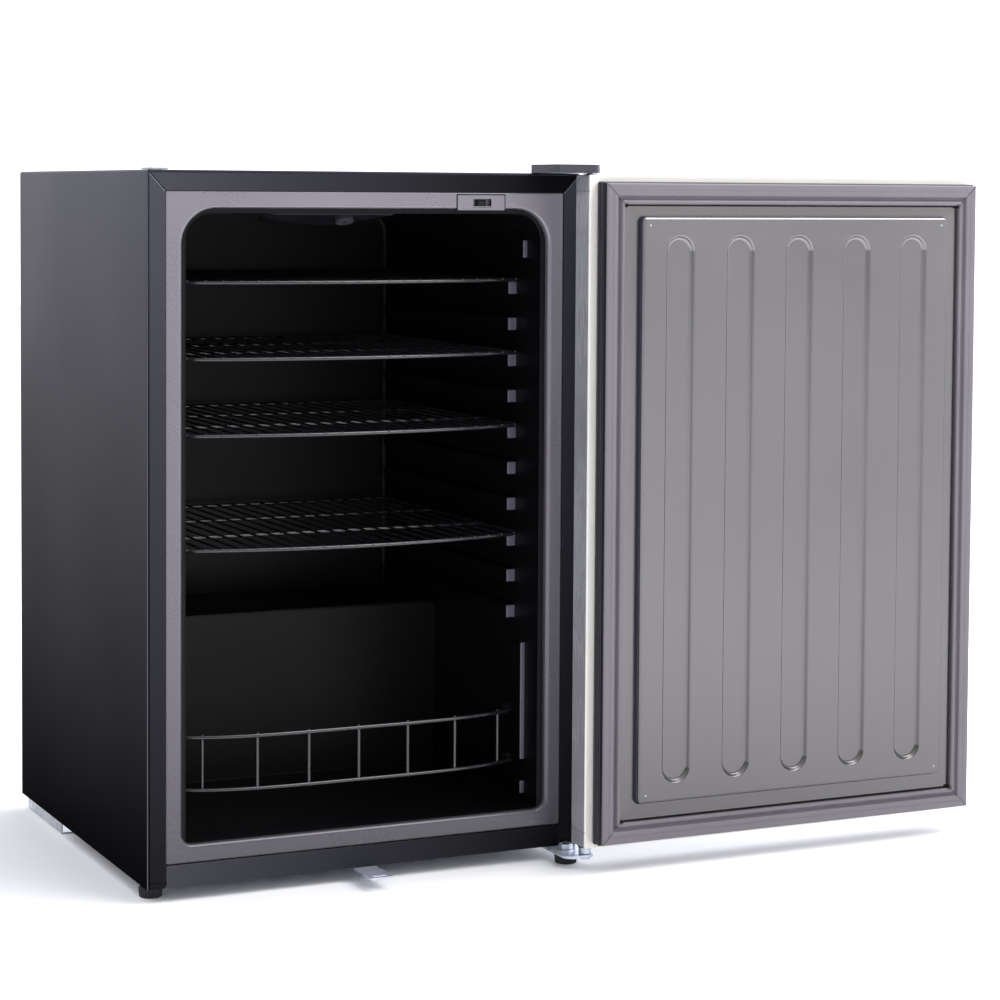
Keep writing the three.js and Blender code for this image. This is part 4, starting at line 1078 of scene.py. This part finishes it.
def inner_panel():
    """The pressed inner face: a margin under the gasket, a step, and a raised pan with five grooves."""
    middle = (PAN.left + PAN.right) / 2
    face = PAN.y
    edge = 3.2
    centres = [middle + (i - (GROOVE.count - 1) / 2) * GROOVE.pitch for i in range(GROOVE.count)]

    def groove(x, shrink):
        return stadium(x, GROOVE.half - shrink, GROOVE.bottom + shrink, GROOVE.top - shrink)

    parts = [face_at([pan_loop(-edge), *(groove(x, 0) for x in centres)], face)]
    for x in centres:
        rings = [in_front(groove(x, inset), face + share * GROOVE.depth) for inset, share in GROOVE_FALL]
        parts.append(loft(rings, caps=(False, True)))
    rings = [in_front(pan_loop(-inset), y) for inset, y in [(edge, face), *roll_over(edge, face, 6)[1:]]]
    parts.append(skin(rings))
    wall = [rings[-1], *rings_at(pan_loop, (1.2, STEP_Y - 3.2), (1.8, STEP_Y - 0.9))]
    # Painted shade: the pan's walls get a darker copy of the panel's finish.
    piece("pan_walls", skin(wall), "shaded_pan_wall", "door", thick=1.1)
    step = SEAL.width + 0.6
    rings = [wall[-1], in_front(pan_loop(3.0), STEP_Y)]
    rings += rings_at(
        seal_rect, (step + 1.6, 3, STEP_Y), (step + 0.5, 3, STEP_Y + 0.4), (step, 3, STEP_Y + 1.6),
        (step - 0.3, 3, MARGIN_Y), (1.2, 2.5, MARGIN_Y),
    )
    parts.append(skin(rings))
    piece("door_liner", merged(*parts), "grey_panel", "door", ["door_inner_panel"], thick=1.1)
    inset = 9
    plug = [(0.3, 0.3), (1.1, 0.3), (1.1, -0.25), (0.8, -0.45), (0.2, -0.5)]
    plugs = [
        lathe(plug, (x, face, z), "y", sides=20)
        for x in (PAN.left + inset, PAN.right - inset) for z in (PAN.bottom + inset, PAN.top - inset)
    ]
    piece("pan_plugs", merged(*plugs), "light_grey_plastic", "door")


# The gasket's outline: how far in from its outer edge, and the y there.
SEAL_PROFILE = [
    (0.5, -62.8), (0.1, -64.2), (0.0, -67.4), (0.5, -69.0), (1.8, -69.6), (2.6, -70.6), (2.6, -72.2),
    (1.6, -73.0), (0.5, -73.6), (0.2, -75.2), (0.6, -76.6), (1.8, -77.4), (2.5, -78.4), (2.3, -80.6),
    (1.7, -82.0), (2.1, -82.9), (3.2, -83.4), (8.6, -83.5), (9.2, -83.0), (9.8, -83.0), (10.4, -83.5),
    (14.4, -83.4), (15.2, -82.6), (15.8, -80.6), (16.6, -79.2), (18.4, -79.0), (19.5, -80.4), (20.2, -82.2),
    (21.4, -83.0), (23.4, -82.8), (24.4, -81.9), (24.7, -80.4), (24.6, -78.6), (24.0, -77.6), (24.0, -75.0),
    (24.7, -74.0), (24.6, -62.8),
]


def door_gasket():
    """A magnetic seal with bellows at both sides and a welded mitre at each corner."""
    rings = rings_at(seal_rect, *((inset, max(1.6 - inset * 0.2, 0.35), 3, y) for inset, y in SEAL_PROFILE))
    piece("magnetic_seal", loft(rings[14:], around=True), "gasket_rubber", "door", ["door_gasket"])
    # Painted shade: the side bellows are near black.
    piece("seal_bellows", loft(rings[:15], around=True), "shaded_seal_side", "door")
    # The dimples at the gasket's inner corners are black rubber: painted shade in the small holes there.
    hole = SEAL.width + 0.5
    dimple = [(0.2, 0.0), (2.3, 0.0), (2.4, -5.4), (2.1, -5.8), (1.8, -5.2), (1.6, -3.0), (0.2, -3.0)]
    welds = []
    corners = seal_rect(0, 0.01, steps=1)[::2]
    for (x, z), (dx, dz) in zip(corners, ((-1, 1), (-1, -1), (1, -1), (1, 1))):
        path = [(x + dx * inset, y + 0.1, z + dz * inset) for inset, y in SEAL_PROFILE[15:32]]
        welds.append(tube(path, 0.34, 6))
        welds.append(lathe(dimple, (x + dx * hole, -77.3, z + dz * hole), "y", sides=20))
    piece("seal_welds", merged(*welds), "black_rubber", "door")


def door_fittings():
    for name in ("door_bush_top", "door_bush_bottom", "lock_housing"):
        dress(name, "black_plastic", 0.4)
    dress("lock_plug", "chrome", 0.5)
    dress("lock_bolt", "zinc", 0.4)
    low, high = box_of("handle_bar")
    middle = (low + high) / 2
    r = (high.x - low.x) / 2
    profile = [(1.5, low.z), (r - 2.2, low.z + 0.15), (r - 0.8, low.z + 0.9), (r, low.z + 2.4)]
    profile += [(rr, low.z + high.z - zz) for rr, zz in reversed(profile)]
    piece("handle_grip", lathe(profile, (middle.x, middle.y, 0)), "stainless", "door", ["handle_bar"])
    for end in ("upper", "lower"):
        low, high = box_of(f"handle_post_{end}")
        z = (low.z + high.z) / 2
        y0, y1 = low.y, high.y + 1.2
        profile = [(2, y0), (7.4, y0), (7.4, y0 + 1.2), (6.2, y0 + 2.2), (5, y0 + 3.4), (5, y1), (2, y1)]
        shape = lathe(profile, (middle.x, 0, z), "y", sides=40)
        piece(f"handle_foot_{end}", shape, "stainless", "door", [f"handle_post_{end}"])


# ---- Stage ----

BRIGHT_SIDE = (0.65, 0.75, 0.95)
SKY = (
    (0.02, (0.22, 0.22, 0.24, 1)), (0.62, (1, 1, 1, 1)), (0.95, (1.5, 1.52, 1.66, 1)),
)
# Each softbox has its place, what it is aimed at, its size in metres and its power in watts.
SOFTBOXES = (
    ("softbox_top", (1.19, -1.19, 2.81), (0.11, 0.0, 0.43), 2.38, 70),
    ("softbox_right", (3.13, 0.76, 1.4), (0.32, -0.32, 0.43), 1.73, 52.5),
)


def stage():
    bpy.ops.mesh.primitive_plane_add(size=30, location=(0, 0, 0))
    floor = bpy.context.active_object
    floor.name = "studio_floor"
    pale = finish("studio_floor", (0.95, 0.95, 0.955, 1.0), 0.9, vary=0.01, bump=0.02, specular=0.1)
    floor.data.materials.append(pale)
    world = bpy.data.worlds.new("studio")
    world.use_nodes = True
    tree = world.node_tree
    direction = tree.nodes.new("ShaderNodeTexCoord").outputs["Generated"]
    facing = feed(tree, "VectorMath", "Value", {0: direction, 1: BRIGHT_SIDE}, operation="DOT_PRODUCT")
    sky = ramp(tree, remap(tree, facing, (-1, 1)), *SKY)
    connect(tree, tree.nodes["Background"], {"Color": sky, "Strength": 1.1})
    bpy.context.scene.world = world
    for name, place, aim, size, power in SOFTBOXES:
        light = bpy.data.lights.new(name, "AREA")
        light.shape = "SQUARE"
        light.size = size
        light.energy = power
        softbox = add_object(name, light)
        softbox.location = place
        softbox.rotation_mode = "QUATERNION"
        softbox.rotation_quaternion = (Vector(aim) - Vector(place)).to_track_quat("-Z", "Y")
    bpy.context.scene.view_settings.view_transform = "Standard"


def camera():
    azimuth, pitch, roll = (math.radians(turn) for turn in CAMERA_TURN)
    data = bpy.data.cameras.new("photo_camera")
    data.sensor_width = 36
    data.lens = CAMERA_LENS
    data.shift_y = CAMERA_SHIFT
    obj = add_object("photo_camera", data)
    turned = Matrix.Translation(at(*CAMERA)) @ Matrix.Rotation(-azimuth, 4, "Z")
    obj.matrix_world = turned @ Matrix.Rotation(math.pi / 2 - pitch, 4, "X") @ Matrix.Rotation(roll, 4, "Z")
    bpy.context.scene.camera = obj


camera()
stage()

for build in (
    cabinet_wrap, kick_band, back_and_base, throat_frame, liner, light_switch, wire_shelves, bottle_guard,
    lamp, thermostat, compressor, relay_and_tray, pipes, condenser, feet, hinges, door_skin, inner_panel,
    door_gasket, door_fittings,
):
    build()

bpy.context.view_layer.update()
